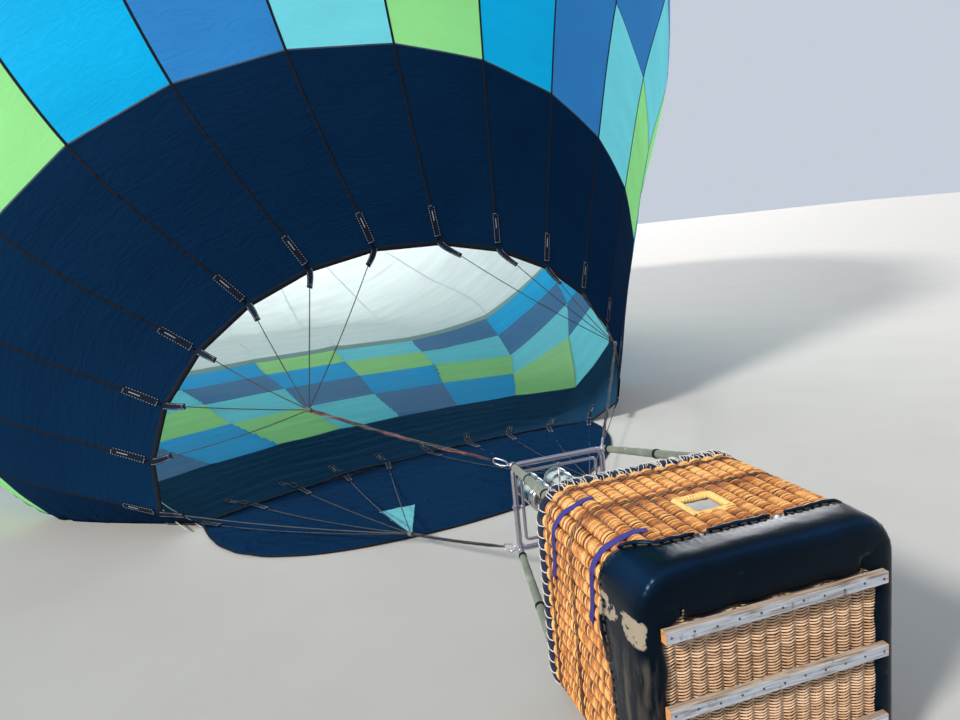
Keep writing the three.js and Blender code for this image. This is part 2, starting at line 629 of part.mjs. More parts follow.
const CROWN_TAPE = { wide: 40, thick: 6, lap: 180 };
const crownPieces = [];
for (let seam = 0; seam < GORES; seam += 1) {
  const angle = ventSeam + (seam / GORES) * Math.PI * 2;
  const share = VENT.ringRadius / edgeSection.left;
  const centreEnd = domePoint(share * 0.96, angle, VENT.lines);
  const side = seam * 2;
  const lastRow = outer.length - 1;
  const out = outward(lastRow, side);
  const edge = outer[lastRow][side].clone().addScaledVector(out, GAP + CROWN_TAPE.thick / 2);
  const down = outer[lastRow - 1][side].clone().sub(outer[lastRow][side]).setLength(CROWN_TAPE.lap);
  const tail = edge.clone().add(down);
  crownPieces.push(bar(centreEnd, edge, CROWN_TAPE.wide, CROWN_TAPE.thick, out));
  crownPieces.push(bar(edge, tail, CROWN_TAPE.wide, CROWN_TAPE.thick, out));
}
const crownRing = new THREE.TorusGeometry(VENT.ringRadius, VENT.ringTube, 6, 24)
  .rotateX(Math.PI / 2 + ventTilt)
  .translate(...domePoint(0, 0, VENT.lines).toArray());
crownPieces.push(crownRing);
add(envelope, 'crown_ring', join(crownPieces), tapeWeb);

export default balloon;
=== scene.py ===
import math
import random

import bmesh
import bpy
import numpy as np
from mathutils import Matrix, Vector, noise


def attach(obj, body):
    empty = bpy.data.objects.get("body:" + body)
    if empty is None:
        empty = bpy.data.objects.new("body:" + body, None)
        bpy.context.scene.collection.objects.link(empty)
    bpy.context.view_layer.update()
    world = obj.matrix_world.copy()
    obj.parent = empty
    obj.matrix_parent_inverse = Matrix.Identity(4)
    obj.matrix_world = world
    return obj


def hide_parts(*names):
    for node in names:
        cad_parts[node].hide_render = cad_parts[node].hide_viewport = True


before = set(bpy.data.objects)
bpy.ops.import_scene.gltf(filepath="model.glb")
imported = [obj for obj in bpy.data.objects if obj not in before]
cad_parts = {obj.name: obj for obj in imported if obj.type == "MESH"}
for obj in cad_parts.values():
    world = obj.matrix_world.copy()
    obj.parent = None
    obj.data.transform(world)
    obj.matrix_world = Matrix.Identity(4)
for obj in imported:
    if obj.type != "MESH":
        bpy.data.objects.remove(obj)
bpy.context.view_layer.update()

# Camera. It stands behind the left side of the basket at head height, as the photograph was taken,
# and looks past the basket into the mouth of the balloon. It is tipped down and rolled a little.
CAMERA_AT = Vector((-1.357, -8.055, 2.467))
CAMERA_AZIMUTH, CAMERA_PITCH, CAMERA_ROLL = (math.radians(angle) for angle in (15.7, -10.2, 5.8))
LENS, SENSOR_WIDTH, FURTHEST = 27.04, 36, 400

camera_data = bpy.data.cameras.new("camera")
camera_data.lens = LENS
camera_data.sensor_width = SENSOR_WIDTH
camera_data.clip_end = FURTHEST
ahead = Vector((
    math.sin(CAMERA_AZIMUTH) * math.cos(CAMERA_PITCH),
    math.cos(CAMERA_AZIMUTH) * math.cos(CAMERA_PITCH),
    math.sin(CAMERA_PITCH),
))
level = Vector((math.cos(CAMERA_AZIMUTH), -math.sin(CAMERA_AZIMUTH), 0))
upright = level.cross(ahead)
rightward = level * math.cos(CAMERA_ROLL) - upright * math.sin(CAMERA_ROLL)
skyward = upright * math.cos(CAMERA_ROLL) + level * math.sin(CAMERA_ROLL)
facing = Matrix((rightward, skyward, -ahead)).transposed().to_4x4()
camera = bpy.data.objects.new("camera", camera_data)
camera.matrix_world = Matrix.Translation(CAMERA_AT) @ facing
bpy.context.scene.collection.objects.link(camera)
bpy.context.scene.camera = camera

# Floor and light. A plain pale floor, a pale surround, one broad low sun from the left as in the
# photograph, and a soft one from the far side that shines through the cloth.
FLOOR = {"half": 150, "dark": (0.33, 0.325, 0.316), "pale": (0.375, 0.37, 0.36), "roughness": 0.85}
SURROUND = {"colour": (0.80, 0.88, 1.0), "strength": 0.70}
# name, direction that it comes from, strength, softness in degrees, colour
LAMPS = [
    ("low_sun", (-1.0, -0.45, 0.72), 5.2, 9, (1.0, 0.95, 0.87)),
    ("far_side_lamp", (0.22, 1.0, 0.20), 6.5, 60, (1.0, 0.98, 0.97)),
]


def lay(tree, kind, settings=None, inputs=None):
    """A shader node with its settings, and its inputs by name or number: a value, or a socket to link."""
    made = tree.nodes.new(kind)
    for key, value in (settings or {}).items():
        setattr(made, key, value)
    for key, value in (inputs or {}).items():
        if isinstance(value, bpy.types.NodeSocket):
            tree.links.new(value, made.inputs[key])
        else:
            made.inputs[key].default_value = value
    return made


def new_finish(name):
    """An empty node material and its tree."""
    made = bpy.data.materials.new(name)
    made.use_nodes = True
    made.node_tree.nodes.clear()
    return made, made.node_tree


def position(tree):
    return lay(tree, "ShaderNodeNewGeometry").outputs["Position"]


def clouds(tree, where, scale, detail, distortion=0.0):
    """A mask of soft random patches. scale: how many there are to a metre; detail: of their edges."""
    return lay(tree, "ShaderNodeTexNoise", inputs={
        "Vector": where, "Scale": scale, "Detail": detail, "Distortion": distortion}).outputs["Fac"]


def blend(tree, share, first, second, way="MIX"):
    """Two colours mixed by a share or a mask. Each is three numbers, or the socket of a colour."""
    first, second = (one if isinstance(one, bpy.types.NodeSocket) else (*one, 1) for one in (first, second))
    return lay(tree, "ShaderNodeMix", {"data_type": "RGBA", "blend_type": way}, {
        0: share, 6: first, 7: second}).outputs[2]


def solid_surface(tree, base, roughness, more=None):
    """Ends a material with an opaque shader of this base colour and roughness, and what more gives it."""
    shader = lay(tree, "ShaderNodeBsdfPrincipled", inputs={
        "Base Color": base, "Roughness": roughness, **(more or {})})
    lay(tree, "ShaderNodeOutputMaterial", inputs={"Surface": shader.outputs[0]})


half = FLOOR["half"]
floor_mesh = bpy.data.meshes.new("floor")
floor_mesh.from_pydata(
    [(-half, -half, 0), (half, -half, 0), (half, half, 0), (-half, half, 0)], [], [(0, 1, 2, 3)])
floor = bpy.data.objects.new("floor", floor_mesh)
bpy.context.scene.collection.objects.link(floor)
floor_finish, tree = new_finish("pale_floor")
mottle = clouds(tree, position(tree), 0.9, 4.0)
solid_surface(tree, blend(tree, mottle, FLOOR["dark"], FLOOR["pale"]), FLOOR["roughness"])
floor_mesh.materials.append(floor_finish)

surround = bpy.data.worlds.new("surround")
surround.use_nodes = True
background = surround.node_tree.nodes["Background"]
background.inputs["Color"].default_value = (*SURROUND["colour"], 1)
background.inputs["Strength"].default_value = SURROUND["strength"]
bpy.context.scene.world = surround
bpy.context.scene.view_settings.view_transform = "Standard"

for name, source, strength, softness, colour in LAMPS:
    lamp_data = bpy.data.lights.new(name, "SUN")
    lamp_data.energy = strength
    lamp_data.angle = math.radians(softness)
    lamp_data.color = colour
    lamp = bpy.data.objects.new(name, lamp_data)
    lamp.rotation_mode = "QUATERNION"
    lamp.rotation_quaternion = Vector(source).to_track_quat("Z", "Y")
    bpy.context.scene.collection.objects.link(lamp)

# Envelope cloth. Coated ripstop nylon, sewn up from 24 gores: a navy throat, four rows of azure,
# cobalt, sky and green that step round by one gore from row to row, a thin grey-green band, and
# white up to the crown. It lies on the ground below and is blown up to its full width above.
GORES = 24
COLUMNS = 10
CLOTH_YAW = math.radians(6.3)
LOWEST = 0.004
# how many waves to a metre and how high they are; how much of them is left along a seam
WAVES, WAVES_AT_SEAM = [(0.75, 0.022), (2.3, 0.007)], 0.35
# folds of the cloth that rests on the ground: below what height, how far apart and how high; how often
# to a metre they drift and come and go, and how much of the cloth has them
FOLDS = {"below": 0.35, "apart": 0.29, "high": 0.034, "small_apart": 0.17, "small_high": 0.014,
         "drift": 0.9, "patches": 0.45, "share": 0.55}
# layout of the cloth in metres: threads of the ripstop, reach and pitch of the puckers at a seam
RIPSTOP_PITCH, PUCKER_REACH, PUCKER_PITCH = 0.011, 0.16, 0.075

# y where the section meets the ground; centre x and z; half widths left and right; half height;
# lean towards the mouth; bow of the stretch on the ground; turn about the vertical; angle of the
# first seam; billow between two seams as a share of the gore's width; rows of mesh up to the next.
SECTIONS = [
    (-0.65, -0.15, 2.60, 2.75, 1.94, 0.48, 0.12, -0.45, 6, -7, 0.004, 36),
    (0.90, -0.30, 4.04, 3.92, 2.86, 1.42, 0.43, -0.80, 8, -14, 0.010, 22),
    (2.60, -0.55, 4.90, 4.96, 3.72, 2.46, 0.56, -0.90, 6, -14, 0.014, 22),
    (4.40, -0.55, 5.80, 5.94, 4.68, 3.40, 0.63, -0.95, 4, -13, 0.016, 20),
    (6.30, -0.32, 6.57, 6.70, 5.30, 4.23, 0.63, -0.95, 2, -10, 0.018, 18),
    (8.20, -0.05, 7.20, 7.35, 5.80, 4.92, 0.61, -0.90, 1, -8, 0.020, 8),
    (8.95, 0.15, 7.45, 7.66, 6.07, 5.22, 0.60, -0.85, 0, -7, 0.024, 14),
    (10.75, 0.25, 8.00, 8.15, 6.60, 5.85, 0.54, -0.65, 0, -7, 0.032, 14),
    (12.70, 0.25, 8.35, 8.40, 6.95, 6.35, 0.46, -0.40, 0, -7, 0.034, 13),
    (14.50, 0.20, 8.25, 8.25, 7.00, 6.70, 0.39, -0.20, 0, -7, 0.036, 12),
    (16.10, 0.15, 7.50, 7.50, 6.50, 6.95, 0.32, 0.0, 0, -7, 0.036, 12),
    (17.35, 0.10, 6.20, 6.20, 5.50, 7.00, 0.26, 0.0, 0, -7, 0.034, 11),
    (18.20, 0.05, 4.50, 4.50, 4.10, 7.00, 0.21, 0.0, 0, -7, 0.030, 12),
    (18.70, 0.0, 2.30, 2.30, 2.15, 7.00, 0.18, 0.0, 0, -7, 0.020, 0),
]


def turned(point, angle):
    x, y, z = point
    return (x * math.cos(angle) - y * math.sin(angle), x * math.sin(angle) + y * math.cos(angle), z)


def section_point(section, seam):
    """Where a seam, counted clockwise as the basket sees it, crosses one section of the envelope."""
    y, x, left, right, tall, z, lean, bow, turn, first_seam, _, _ = section
    angle = (math.radians(first_seam) + seam / GORES * math.tau) % math.tau
    height = z + tall * math.sin(angle)
    if height >= 0:
        point = (-math.cos(angle) * (left if math.cos(angle) > 0 else right), -lean * height, height)
    else:
        contact = math.asin(z / tall)
        across = 1 - 2 * (angle - math.pi - contact) / (math.pi - 2 * contact)
        reach = math.cos(contact) * (right - left + (right + left) * across) / 2
        point = (reach, -bow * (1 - across ** 2), 0)
    px, py, pz = turned(point, math.radians(turn))
    return turned((px + x, py + y, pz), CLOTH_YAW)


def rows_between(rows, steps):
    """Rows of points on smooth curves through the given rows, with so many steps from each to the next."""
    gaps = np.linalg.norm(np.diff(rows, axis=0), axis=2).mean(axis=1)
    places = np.concatenate([[0], np.cumsum(gaps)])
    slopes = np.gradient(rows, places, axis=0)
    made, lengths = [], []
    for i, count in enumerate(steps):
        for step in range(count):
            t = step / count
            made.append((2 * t ** 3 - 3 * t ** 2 + 1) * rows[i]
                        + (t ** 3 - 2 * t ** 2 + t) * gaps[i] * slopes[i]
                        + (3 * t ** 2 - 2 * t ** 3) * rows[i + 1]
                        + (t ** 3 - t ** 2) * gaps[i] * slopes[i + 1])
            lengths.append(places[i] + t * gaps[i])
    return np.array(made + [rows[-1]]), np.array(lengths + [places[-1]])


def face_normals(points):
    """Outward directions of a grid of points that is closed round its second axis."""
    upward = np.gradient(points, axis=0)
    across = np.roll(points, -1, axis=1) - np.roll(points, 1, axis=1)
    made = np.cross(across, upward)
    return made / np.linalg.norm(made, axis=2)[..., None]


def blown(seam_points, billow):
    """The cloth from seam to seam, straight but for a slight billow, and the width of each gore."""
    chord = np.roll(seam_points, -1, axis=1) - seam_points
    width = np.linalg.norm(chord, axis=2)
    out = face_normals(seam_points)
    out = out + np.roll(out, -1, axis=1)
    out /= np.linalg.norm(out, axis=2)[..., None]
    columns = []
    for column in range(COLUMNS):
        t = column / COLUMNS
        rise = (billow[:, None] * width * 4 * t * (1 - t))[..., None] * out
        columns.append(seam_points + chord * t + rise)
    grid = np.stack(columns, axis=2).reshape(len(seam_points), GORES * COLUMNS, 3)
    return grid, width


row_steps = [section[-1] for section in SECTIONS[:-1]]
row_starts = [sum(row_steps[:i]) for i in range(len(SECTIONS))]
seam_rows = np.array([[section_point(section, seam) for seam in range(GORES)] for section in SECTIONS])
seams, seam_lengths = rows_between(seam_rows, row_steps)
billows = np.interp(np.arange(len(seams)), row_starts, [section[-2] for section in SECTIONS])
cloth, gore_widths = blown(seams, billows)
cloth_out = face_normals(cloth)
all_columns = GORES * COLUMNS


def uneven(*place):
    """A smooth random value from -1 to 1 that depends on the place alone."""
    return noise.noise(Vector(place))


for row in range(len(cloth)):
    for column in range(all_columns):
        at = cloth[row, column]
        from_seam = min(column % COLUMNS, COLUMNS - column % COLUMNS) / (COLUMNS / 2)
        wave = sum(uneven(*(Vector(at) * often)) * high for often, high in WAVES)
        resting = max(0.0, 1 - max(at[2], 0) / FOLDS["below"])
        calm = (WAVES_AT_SEAM + (1 - WAVES_AT_SEAM) * from_seam) * (1 - resting)
        at = at + cloth_out[row, column] * wave * calm
        if resting > 0:
            drift = noise.noise(Vector(at) * FOLDS["drift"] + Vector((0, 0, 5)))
            length = seam_lengths[row]
            folds = math.sin(length / FOLDS["apart"] * math.tau + 5 * drift) * 0.5 + 0.5
            small = math.sin(length / FOLDS["small_apart"] * math.tau + 9 * drift + at[0] * 1.7) * 0.5 + 0.5
            patch = noise.noise(Vector(at) * FOLDS["patches"] + Vector((3, 1, 8)))
            patch = max(0.0, FOLDS["share"] + patch)
            lift = resting * patch * (FOLDS["high"] * folds + FOLDS["small_high"] * small)
            at = at + np.array((0, 0, lift))
        at[2] = max(at[2], LOWEST)
        cloth[row, column] = at
cloth_out = face_normals(cloth)


def reckon(tree, way, *values):
    """One step of arithmetic on numbers or masks."""
    return lay(tree, "ShaderNodeMath", {"operation": way}, dict(enumerate(values))).outputs[0]


def reckon_vector(tree, way, inputs):
    return lay(tree, "ShaderNodeVectorMath", {"operation": way}, inputs).outputs[0]


def parts_of(tree, vector):
    """The x, y and z of a vector."""
    return lay(tree, "ShaderNodeSeparateXYZ", inputs={0: vector}).outputs


def fade(tree, value, start, stop, first=0.0, last=1.0):
    """A mask that runs from first to last while a value runs from start to stop."""
    return lay(tree, "ShaderNodeMapRange", inputs={0: value, 1: start, 2: stop, 3: first, 4: last}).outputs[0]


def relief_of(tree, height, strength, depth):
    """The normals of a surface with this relief, so many metres deep."""
    return lay(tree, "ShaderNodeBump", inputs={
        "Strength": strength, "Distance": depth, "Height": height}).outputs[0]


def kept_number(tree, label):
    return lay(tree, "ShaderNodeAttribute", {"attribute_name": label}).outputs["Fac"]


def shaded(colour, factor, more=0.0):
    """A colour made darker or lighter."""
    return tuple(min(1, value * factor + more) for value in colour)


def effect(name, inputs, outputs):
    """An empty group of shader nodes with its named inputs and outputs."""
    made = bpy.data.node_groups.new(name, "ShaderNodeTree")
    for in_out, sockets in (("INPUT", inputs), ("OUTPUT", outputs)):
        for label, kind in sockets.items():
            made.interface.new_socket(label, in_out=in_out, socket_type=kind)
    return made, made.nodes.new("NodeGroupInput").outputs, made.nodes.new("NodeGroupOutput").inputs


def use(tree, group, inputs):
    return lay(tree, "ShaderNodeGroup", {"node_tree": group}, inputs).outputs


# The fine grid of thicker threads in the cloth
ripstop, given, result = effect(
    "ripstop_grid", {"Vector": "NodeSocketVector", "Spacing": "NodeSocketFloat"},
    {"Lines": "NodeSocketFloat"})
per_metre = reckon(ripstop, "DIVIDE", 1.0, given["Spacing"])
scaled = reckon_vector(ripstop, "SCALE", {0: given["Vector"], "Scale": per_metre})
in_square = reckon_vector(ripstop, "FRACTION", {0: scaled})
from_middle = reckon_vector(ripstop, "SUBTRACT", {0: in_square, 1: (0.5, 0.5, 0.5)})
axes = parts_of(ripstop, reckon_vector(ripstop, "ABSOLUTE", {0: from_middle}))
lines = fade(ripstop, reckon(ripstop, "MAXIMUM", axes[0], axes[1]), 0.40, 0.47)
ripstop.links.new(lines, result["Lines"])

# Creases that run mostly across the gores, with a broader softness under them; the Shade output is that broad
# softness, used as painted shade
creasing, given, result = effect(
    "cloth_creases", {"Vector": "NodeSocketVector", "Stretch": "NodeSocketFloat"},
    {"Height": "NodeSocketFloat", "Shade": "NodeSocketFloat"})
axes = parts_of(creasing, given["Vector"])
slow = reckon(creasing, "DIVIDE", axes[0], given["Stretch"])
squeezed = lay(creasing, "ShaderNodeCombineXYZ", inputs={0: slow, 1: axes[1], 2: axes[2]}).outputs[0]
fine = clouds(creasing, squeezed, 9.0, 3.0, 0.6)
ridge = reckon(creasing, "ABSOLUTE", reckon(creasing, "SUBTRACT", fine, 0.5))
broad = clouds(creasing, squeezed, 2.2, 2.0)
height = reckon(creasing, "MULTIPLY_ADD", broad, 1.6, fade(creasing, ridge, 0.0, 0.10, 1.0, 0.0))
creasing.links.new(height, result["Height"])
creasing.links.new(broad, result["Shade"])


def cloth_finish(name, colour, through, depth=0.006, roughness=0.6, gloss=0.14, inside=(1, 1, 1)):
    """Coated nylon cloth. through: the share of light that shines through it; depth: of its creases, in
    metres; inside: painted light, how much stronger each primary is on the side that faces into the
    envelope, where the cloth is seen with light shining through it."""
    made, tree = new_finish(name)
    layout = lay(tree, "ShaderNodeUVMap", {"uv_map": "cloth"}).outputs[0]
    grid = use(tree, ripstop, {"Vector": layout, "Spacing": RIPSTOP_PITCH})
    folds = use(tree, creasing, {"Vector": layout, "Stretch": 3.0})
    # painted shade: the cloth is darker in the hollows of the broad folds and lighter on their tops
    tone = blend(tree, folds["Shade"], shaded(colour, 0.80), shaded(colour, 1.08))
    base = blend(tree, reckon(tree, "MULTIPLY", grid["Lines"], 0.22), tone, shaded(colour, 0.72))
    # painted light: the side that faces into the envelope is lightened and tinted by the inside factors
    backfacing = lay(tree, "ShaderNodeNewGeometry").outputs["Backfacing"]
    base = blend(tree, backfacing, base, inside, "MULTIPLY")
    near_seam = fade(tree, kept_number(tree, "seam_distance"), 0.0, PUCKER_REACH, 1.0, 0.0)
    pucker = reckon(tree, "MULTIPLY", parts_of(tree, layout)[1], math.tau / PUCKER_PITCH)
    pucker = reckon(tree, "MULTIPLY", reckon(tree, "SINE", pucker), near_seam)
    relief = reckon(tree, "MULTIPLY_ADD", pucker, 0.35, folds["Height"])
    crumple = fade(tree, kept_number(tree, "slack"), 0.0, 1.0, 0.25, 1.0)
    normal = relief_of(tree, reckon(tree, "MULTIPLY", relief, crumple), 0.8, depth)
    front = lay(tree, "ShaderNodeBsdfPrincipled", inputs={
        "Base Color": base, "Roughness": roughness, "Normal": normal, "Specular IOR Level": gloss})
    behind = lay(tree, "ShaderNodeBsdfTranslucent", inputs={"Color": base, "Normal": normal})
    both = lay(tree, "ShaderNodeMixShader", inputs={0: through, 1: front.outputs[0], 2: behind.outputs[0]})
    lay(tree, "ShaderNodeOutputMaterial", inputs={"Surface": both.outputs[0]})
    return made


# The inside factors below are painted light, for each cloth as seen from within the envelope.
AZURE = cloth_finish("azure_cloth", (0.001, 0.50, 0.96), 0.54)
COBALT = cloth_finish("cobalt_cloth", (0.034, 0.250, 0.64), 0.36, inside=(1.3, 0.74, 0.60))
SKY = cloth_finish("sky_cloth", (0.24, 0.84, 0.98), 0.56)
GREEN = cloth_finish("green_cloth", (0.42, 0.98, 0.33), 0.62, inside=(1.3, 1.0, 1.3))
NAVY = cloth_finish("navy_cloth", (0.0034, 0.0200, 0.058), 0.03, depth=0.009, roughness=0.5, gloss=0.001,
                    inside=(2.6, 1.9, 1.4))
SAGE = cloth_finish("sage_cloth", (0.29, 0.44, 0.42), 0.50)
PALE = cloth_finish("white_cloth", (0.80, 0.91, 0.885), 0.50, inside=(1.14, 1.07, 1.10))
STEPPED = [AZURE, COBALT, SKY, GREEN]


class Shape:
    """The points and faces of a piece while it is made, with the number of each face's finish."""

    def __init__(self):
        self.points, self.faces, self.finish = [], [], []

    def paint(self, number):
        """Gives one finish to every face that has none yet."""
        self.finish.extend([number] * (len(self.faces) - len(self.finish)))

    def join_rows(self, start, rows, count, ring=True, loop=False, flipped=False):
        """Faces between rows of points. ring: a row closes on itself; loop: the last row joins the first."""
        for i in range(rows if loop else rows - 1):
            low, high = start + i * count, start + (i + 1) % rows * count
            for j in range(count if ring else count - 1):
                k = (j + 1) % count
                near, far = (high + j, low + k) if flipped else (low + k, high + j)
                self.faces.append((low + j, near, high + k, far))

    def cap_ends(self, start, rows, count):
        last = start + (rows - 1) * count
        self.faces.append(tuple(start + j for j in reversed(range(count))))
        self.faces.append(tuple(last + j for j in range(count)))


def new_piece(name, shape, finishes, smooth=True):
    """A mesh object from its shape and finishes."""
    mesh = bpy.data.meshes.new(name)
    mesh.from_pydata([tuple(map(float, point)) for point in shape.points], [], shape.faces)
    for one in finishes:
        mesh.materials.append(one)
    shape.paint(0)
    mesh.polygons.foreach_set("material_index", np.array(shape.finish, dtype=np.int32))
    mesh.polygons.foreach_set("use_smooth", np.full(len(mesh.polygons), smooth))
    mesh.update()
    made = bpy.data.objects.new(name, mesh)
    bpy.context.scene.collection.objects.link(made)
    return made


def keep_number(piece, label, values):
    """Keeps a number at each point of a piece, for its finish to read."""
    values = np.ones(len(piece.data.vertices), np.float32) * np.asarray(values, np.float32)
    piece.data.attributes.new(label, "FLOAT", "POINT").data.foreach_set("value", values)


def lay_out(piece, layout):
    """The cloth laid flat, in metres: one place for each corner of each face."""
    places = np.array(layout, dtype=np.float32).ravel()
    piece.data.uv_layers.new(name="cloth").data.foreach_set("uv", places)


def cloth_band(name, first, last, finishes, first_gore, gores, gore_finish):
    """Some gores of the cloth from one section to another. gore_finish gives a gore its finish by number."""
    low = row_starts[first]
    rows = row_starts[last] - low + 1
    wide = gores * COLUMNS + 1
    grid = [(row, column) for row in range(rows) for column in range(wide)]
    shape = Shape()
    shape.points = [cloth[low + row, (first_gore * COLUMNS + column) % all_columns] for row, column in grid]
    shape.join_rows(0, rows, wide, ring=False)
    layout = []
    for row in range(rows - 1):
        for column in range(wide - 1):
            gore = (first_gore + column // COLUMNS) % GORES
            shape.finish.append(gore_finish(gore))
            t = column % COLUMNS
            for i, j in ((row, t), (row, t + 1), (row + 1, t + 1), (row + 1, t)):
                across = (j / COLUMNS - 0.5) * gore_widths[low + i, gore]
                layout.append((across + gore * 3.1, seam_lengths[low + i]))
    made = new_piece(name, shape, finishes)
    lay_out(made, layout)
    distances = []
    for row, column in grid:
        t = (column % COLUMNS) / COLUMNS
        distances.append(min(t, 1 - t) * gore_widths[low + row, (first_gore + column // COLUMNS) % GORES])
    keep_number(made, "seam_distance", distances)
    heights = np.array([point[2] for point in shape.points])
    keep_number(made, "slack", np.clip(1 - heights / 0.5, 0, 1))
    return made


# node, slot, first section, last section, row of the stepped colours or none, plain finish
BANDS = [
    ("throat_band", "navy_cloth", 0, 1, None, NAVY),
    ("colour_row_1", "cobalt_cloth", 1, 2, 0, None),
    ("colour_row_2", "sky_cloth", 2, 3, 1, None),
    ("colour_row_3", "cobalt_cloth", 3, 4, 2, None),
    ("colour_row_4", "sky_cloth", 4, 5, 3, None),
    ("sage_band", "sage_cloth", 5, 6, None, SAGE),
    ("pale_band_lower", "pale_cloth", 6, 8, None, PALE),
    ("pale_band_middle", "pale_cloth", 8, 10, None, PALE),
    ("crown_band", "pale_cloth", 10, 13, None, PALE),
]
HALVES = [("upper", 0), ("lower", GORES // 2)]
for node, slot, first, last, step, plain in BANDS:
    for half, first_gore in HALVES:
        band = cloth_band(
            f"{node}_{half}", first, last, [plain] if plain else STEPPED, first_gore, GORES // 2,
            lambda gore: 0 if plain else (gore - step) % len(STEPPED))
        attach(band, "balloon")
        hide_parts(node)
        low, high = row_starts[first], row_starts[last]
        length = float(seam_lengths[high] - seam_lengths[low])

# Load tapes and seams. Dark polyester webbing 25 mm wide is sewn over each of the 24 gore seams and
# carries the load from the crown to the wires; flat seams join the rows of cloth.
TAPE = {"half": 0.0125, "proud": 0.0028, "back": 0.0008}
SEAM = {"half": 0.008, "proud": 0.0018, "back": 0.0005}


def weave_finish(name, colour, spacing, roughness=0.75):
    """Woven webbing, tape or thread, with threads so far apart."""
    made, tree = new_finish(name)
    where = position(tree)
    grid = use(tree, ripstop, {"Vector": where, "Spacing": spacing})["Lines"]
    tone = blend(tree, clouds(tree, where, 14.0, 4.0), shaded(colour, 0.75), shaded(colour, 1.25, 0.004))
    solid_surface(tree, blend(tree, grid, tone, shaded(colour, 0.55)), roughness, {
        "Normal": relief_of(tree, grid, 0.6, 0.0008), "Specular IOR Level": 0.08})
    return made


WEBBING = weave_finish("dark_webbing", (0.006, 0.0085, 0.015), 0.004)
THREAD = weave_finish("pale_thread", (0.30, 0.33, 0.37), 0.002)
SEAM_THREAD = weave_finish("row_seam", (0.055, 0.085, 0.13), 0.003)


def ribbon(shape, path, outs, halves, proud, back=None):
    """Adds a flat closed strip along a path. outs: its outward directions; halves: half widths; proud: how
    far its face lies outside of the path; back: the same for its back, which else is as far inside."""
    path = np.asarray(path, float)
    outs = np.asarray(outs, float)
    sides = np.cross(np.gradient(path, axis=0), outs)
    sides /= np.maximum(np.linalg.norm(sides, axis=1), 1e-9)[:, None]
    halves = np.broadcast_to(np.asarray(halves, float), (len(path),))[:, None]
    back = -proud if back is None else back
    outline = [(-1, back), (-1, proud * 0.4), (-0.8, proud), (0.8, proud), (1, proud * 0.4), (1, back)]
    rings = [path + sides * halves * offset + outs * height for offset, height in outline]
    start = len(shape.points)
    for i in range(len(path)):
        shape.points.extend(ring[i] for ring in rings)
    shape.join_rows(start, len(path), len(rings))
    shape.cap_ends(start, len(path), len(rings))


shape = Shape()
for seam in range(GORES):
    column = seam * COLUMNS
    path = cloth[:, column].copy()
    path[:, 2] = np.maximum(path[:, 2], TAPE["proud"] + 0.001)
    ribbon(shape, path, cloth_out[:, column], TAPE["half"], TAPE["proud"], TAPE["back"])
tapes = new_piece("load_tapes", shape, [WEBBING])
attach(tapes, "balloon")

shape = Shape()
for start in row_starts[1:-1]:
    ring = np.concatenate([cloth[start], cloth[start][:1]])
    outs = np.concatenate([cloth_out[start], cloth_out[start][:1]])
    ring[:, 2] = np.maximum(ring[:, 2], LOWEST)
    ribbon(shape, ring, outs, SEAM["half"], SEAM["proud"], SEAM["back"])
row_seams = new_piece("row_seams", shape, [SEAM_THREAD])
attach(row_seams, "balloon")

# Mouth hem, pockets and sleeves. A folded webbing hem stiffens the mouth; at every seam a stitched
# pocket of doubled navy cloth takes the end of a wire in a flat padded sleeve.
HEM = {"half": 0.025, "thick": 0.0075, "round": 10, "lowest": 0.010}
POCKET = {"from": 0.05, "long": 0.30, "half": 0.036, "thick": 0.0028, "proud": 0.0035, "steps": 12}
SLEEVE = {"base": 0.034, "tip": 0.025, "long": 0.26, "thick": 0.0065, "on_ground": 0.020, "steps": 12}
SLIT = {"half": 0.004, "thick": 0.002}
STITCH = {"long": 0.011, "pitch": 0.016, "half": 0.0022, "thick": 0.0012}
# how far in from the edge of a pocket and of a sleeve the stitching runs
POCKET_MARGIN, SLEEVE_MARGIN = 0.006, 0.007

# node, first of its six seams, corner of the frame by its sign in x and z, where its wires meet
WIRE_GROUPS = [
    ("wires_upper_left", 1, -1, 1, (-1.190, -2.520, 1.250)),
    ("wires_upper_right", 7, 1, 1, (2.050, -1.240, 1.150)),
    ("wires_lower_right", 13, 1, -1, (1.150, -2.350, 0.190)),
    ("wires_lower_left", 19, -1, -1, (-0.560, -2.700, 0.170)),
]
GROUP_SEAMS = 6

forward = cloth[0] - cloth[4]
forward /= np.linalg.norm(forward, axis=1)[:, None]
hem_line = cloth[0] + forward * HEM["half"]
hem_line[:, 2] = np.maximum(hem_line[:, 2], HEM["lowest"])
shape = Shape()
for column in range(all_columns):
    pinch = 1 + 0.10 * math.sin(column * 1.9) + 0.08 * math.sin(column * 0.7)
    for i in range(HEM["round"]):
        turn = i / HEM["round"] * math.tau
        shape.points.append(hem_line[column] + forward[column] * math.cos(turn) * HEM["half"]
                            + cloth_out[0, column] * math.sin(turn) * HEM["thick"] * pinch)
shape.join_rows(0, all_columns, HEM["round"], loop=True, flipped=True)
hem = new_piece("mouth_hem", shape, [WEBBING])
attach(hem, "balloon")
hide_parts("mouth_tape")


def run_along(points):
    """The distance from the first point to each of them."""
    return np.concatenate([[0], np.cumsum(np.linalg.norm(np.diff(points, axis=0), axis=1))])


def along_seam(seam, distance):
    """A point on a seam, so far in from the mouth's edge, with its outward direction."""
    line, line_out = cloth[:row_steps[0], seam * COLUMNS], cloth_out[:row_steps[0], seam * COLUMNS]
    lengths = run_along(line)
    at = np.array([np.interp(distance, lengths, line[:, axis]) for axis in range(3)])
    out = np.array([np.interp(distance, lengths, line_out[:, axis]) for axis in range(3)])
    return at, out / np.linalg.norm(out)


def sides_of(path, outs):
    """Sideways directions along a path."""
    ways = np.gradient(path, axis=0)
    ways /= np.linalg.norm(ways, axis=1)[:, None]
    return np.cross(ways, outs)


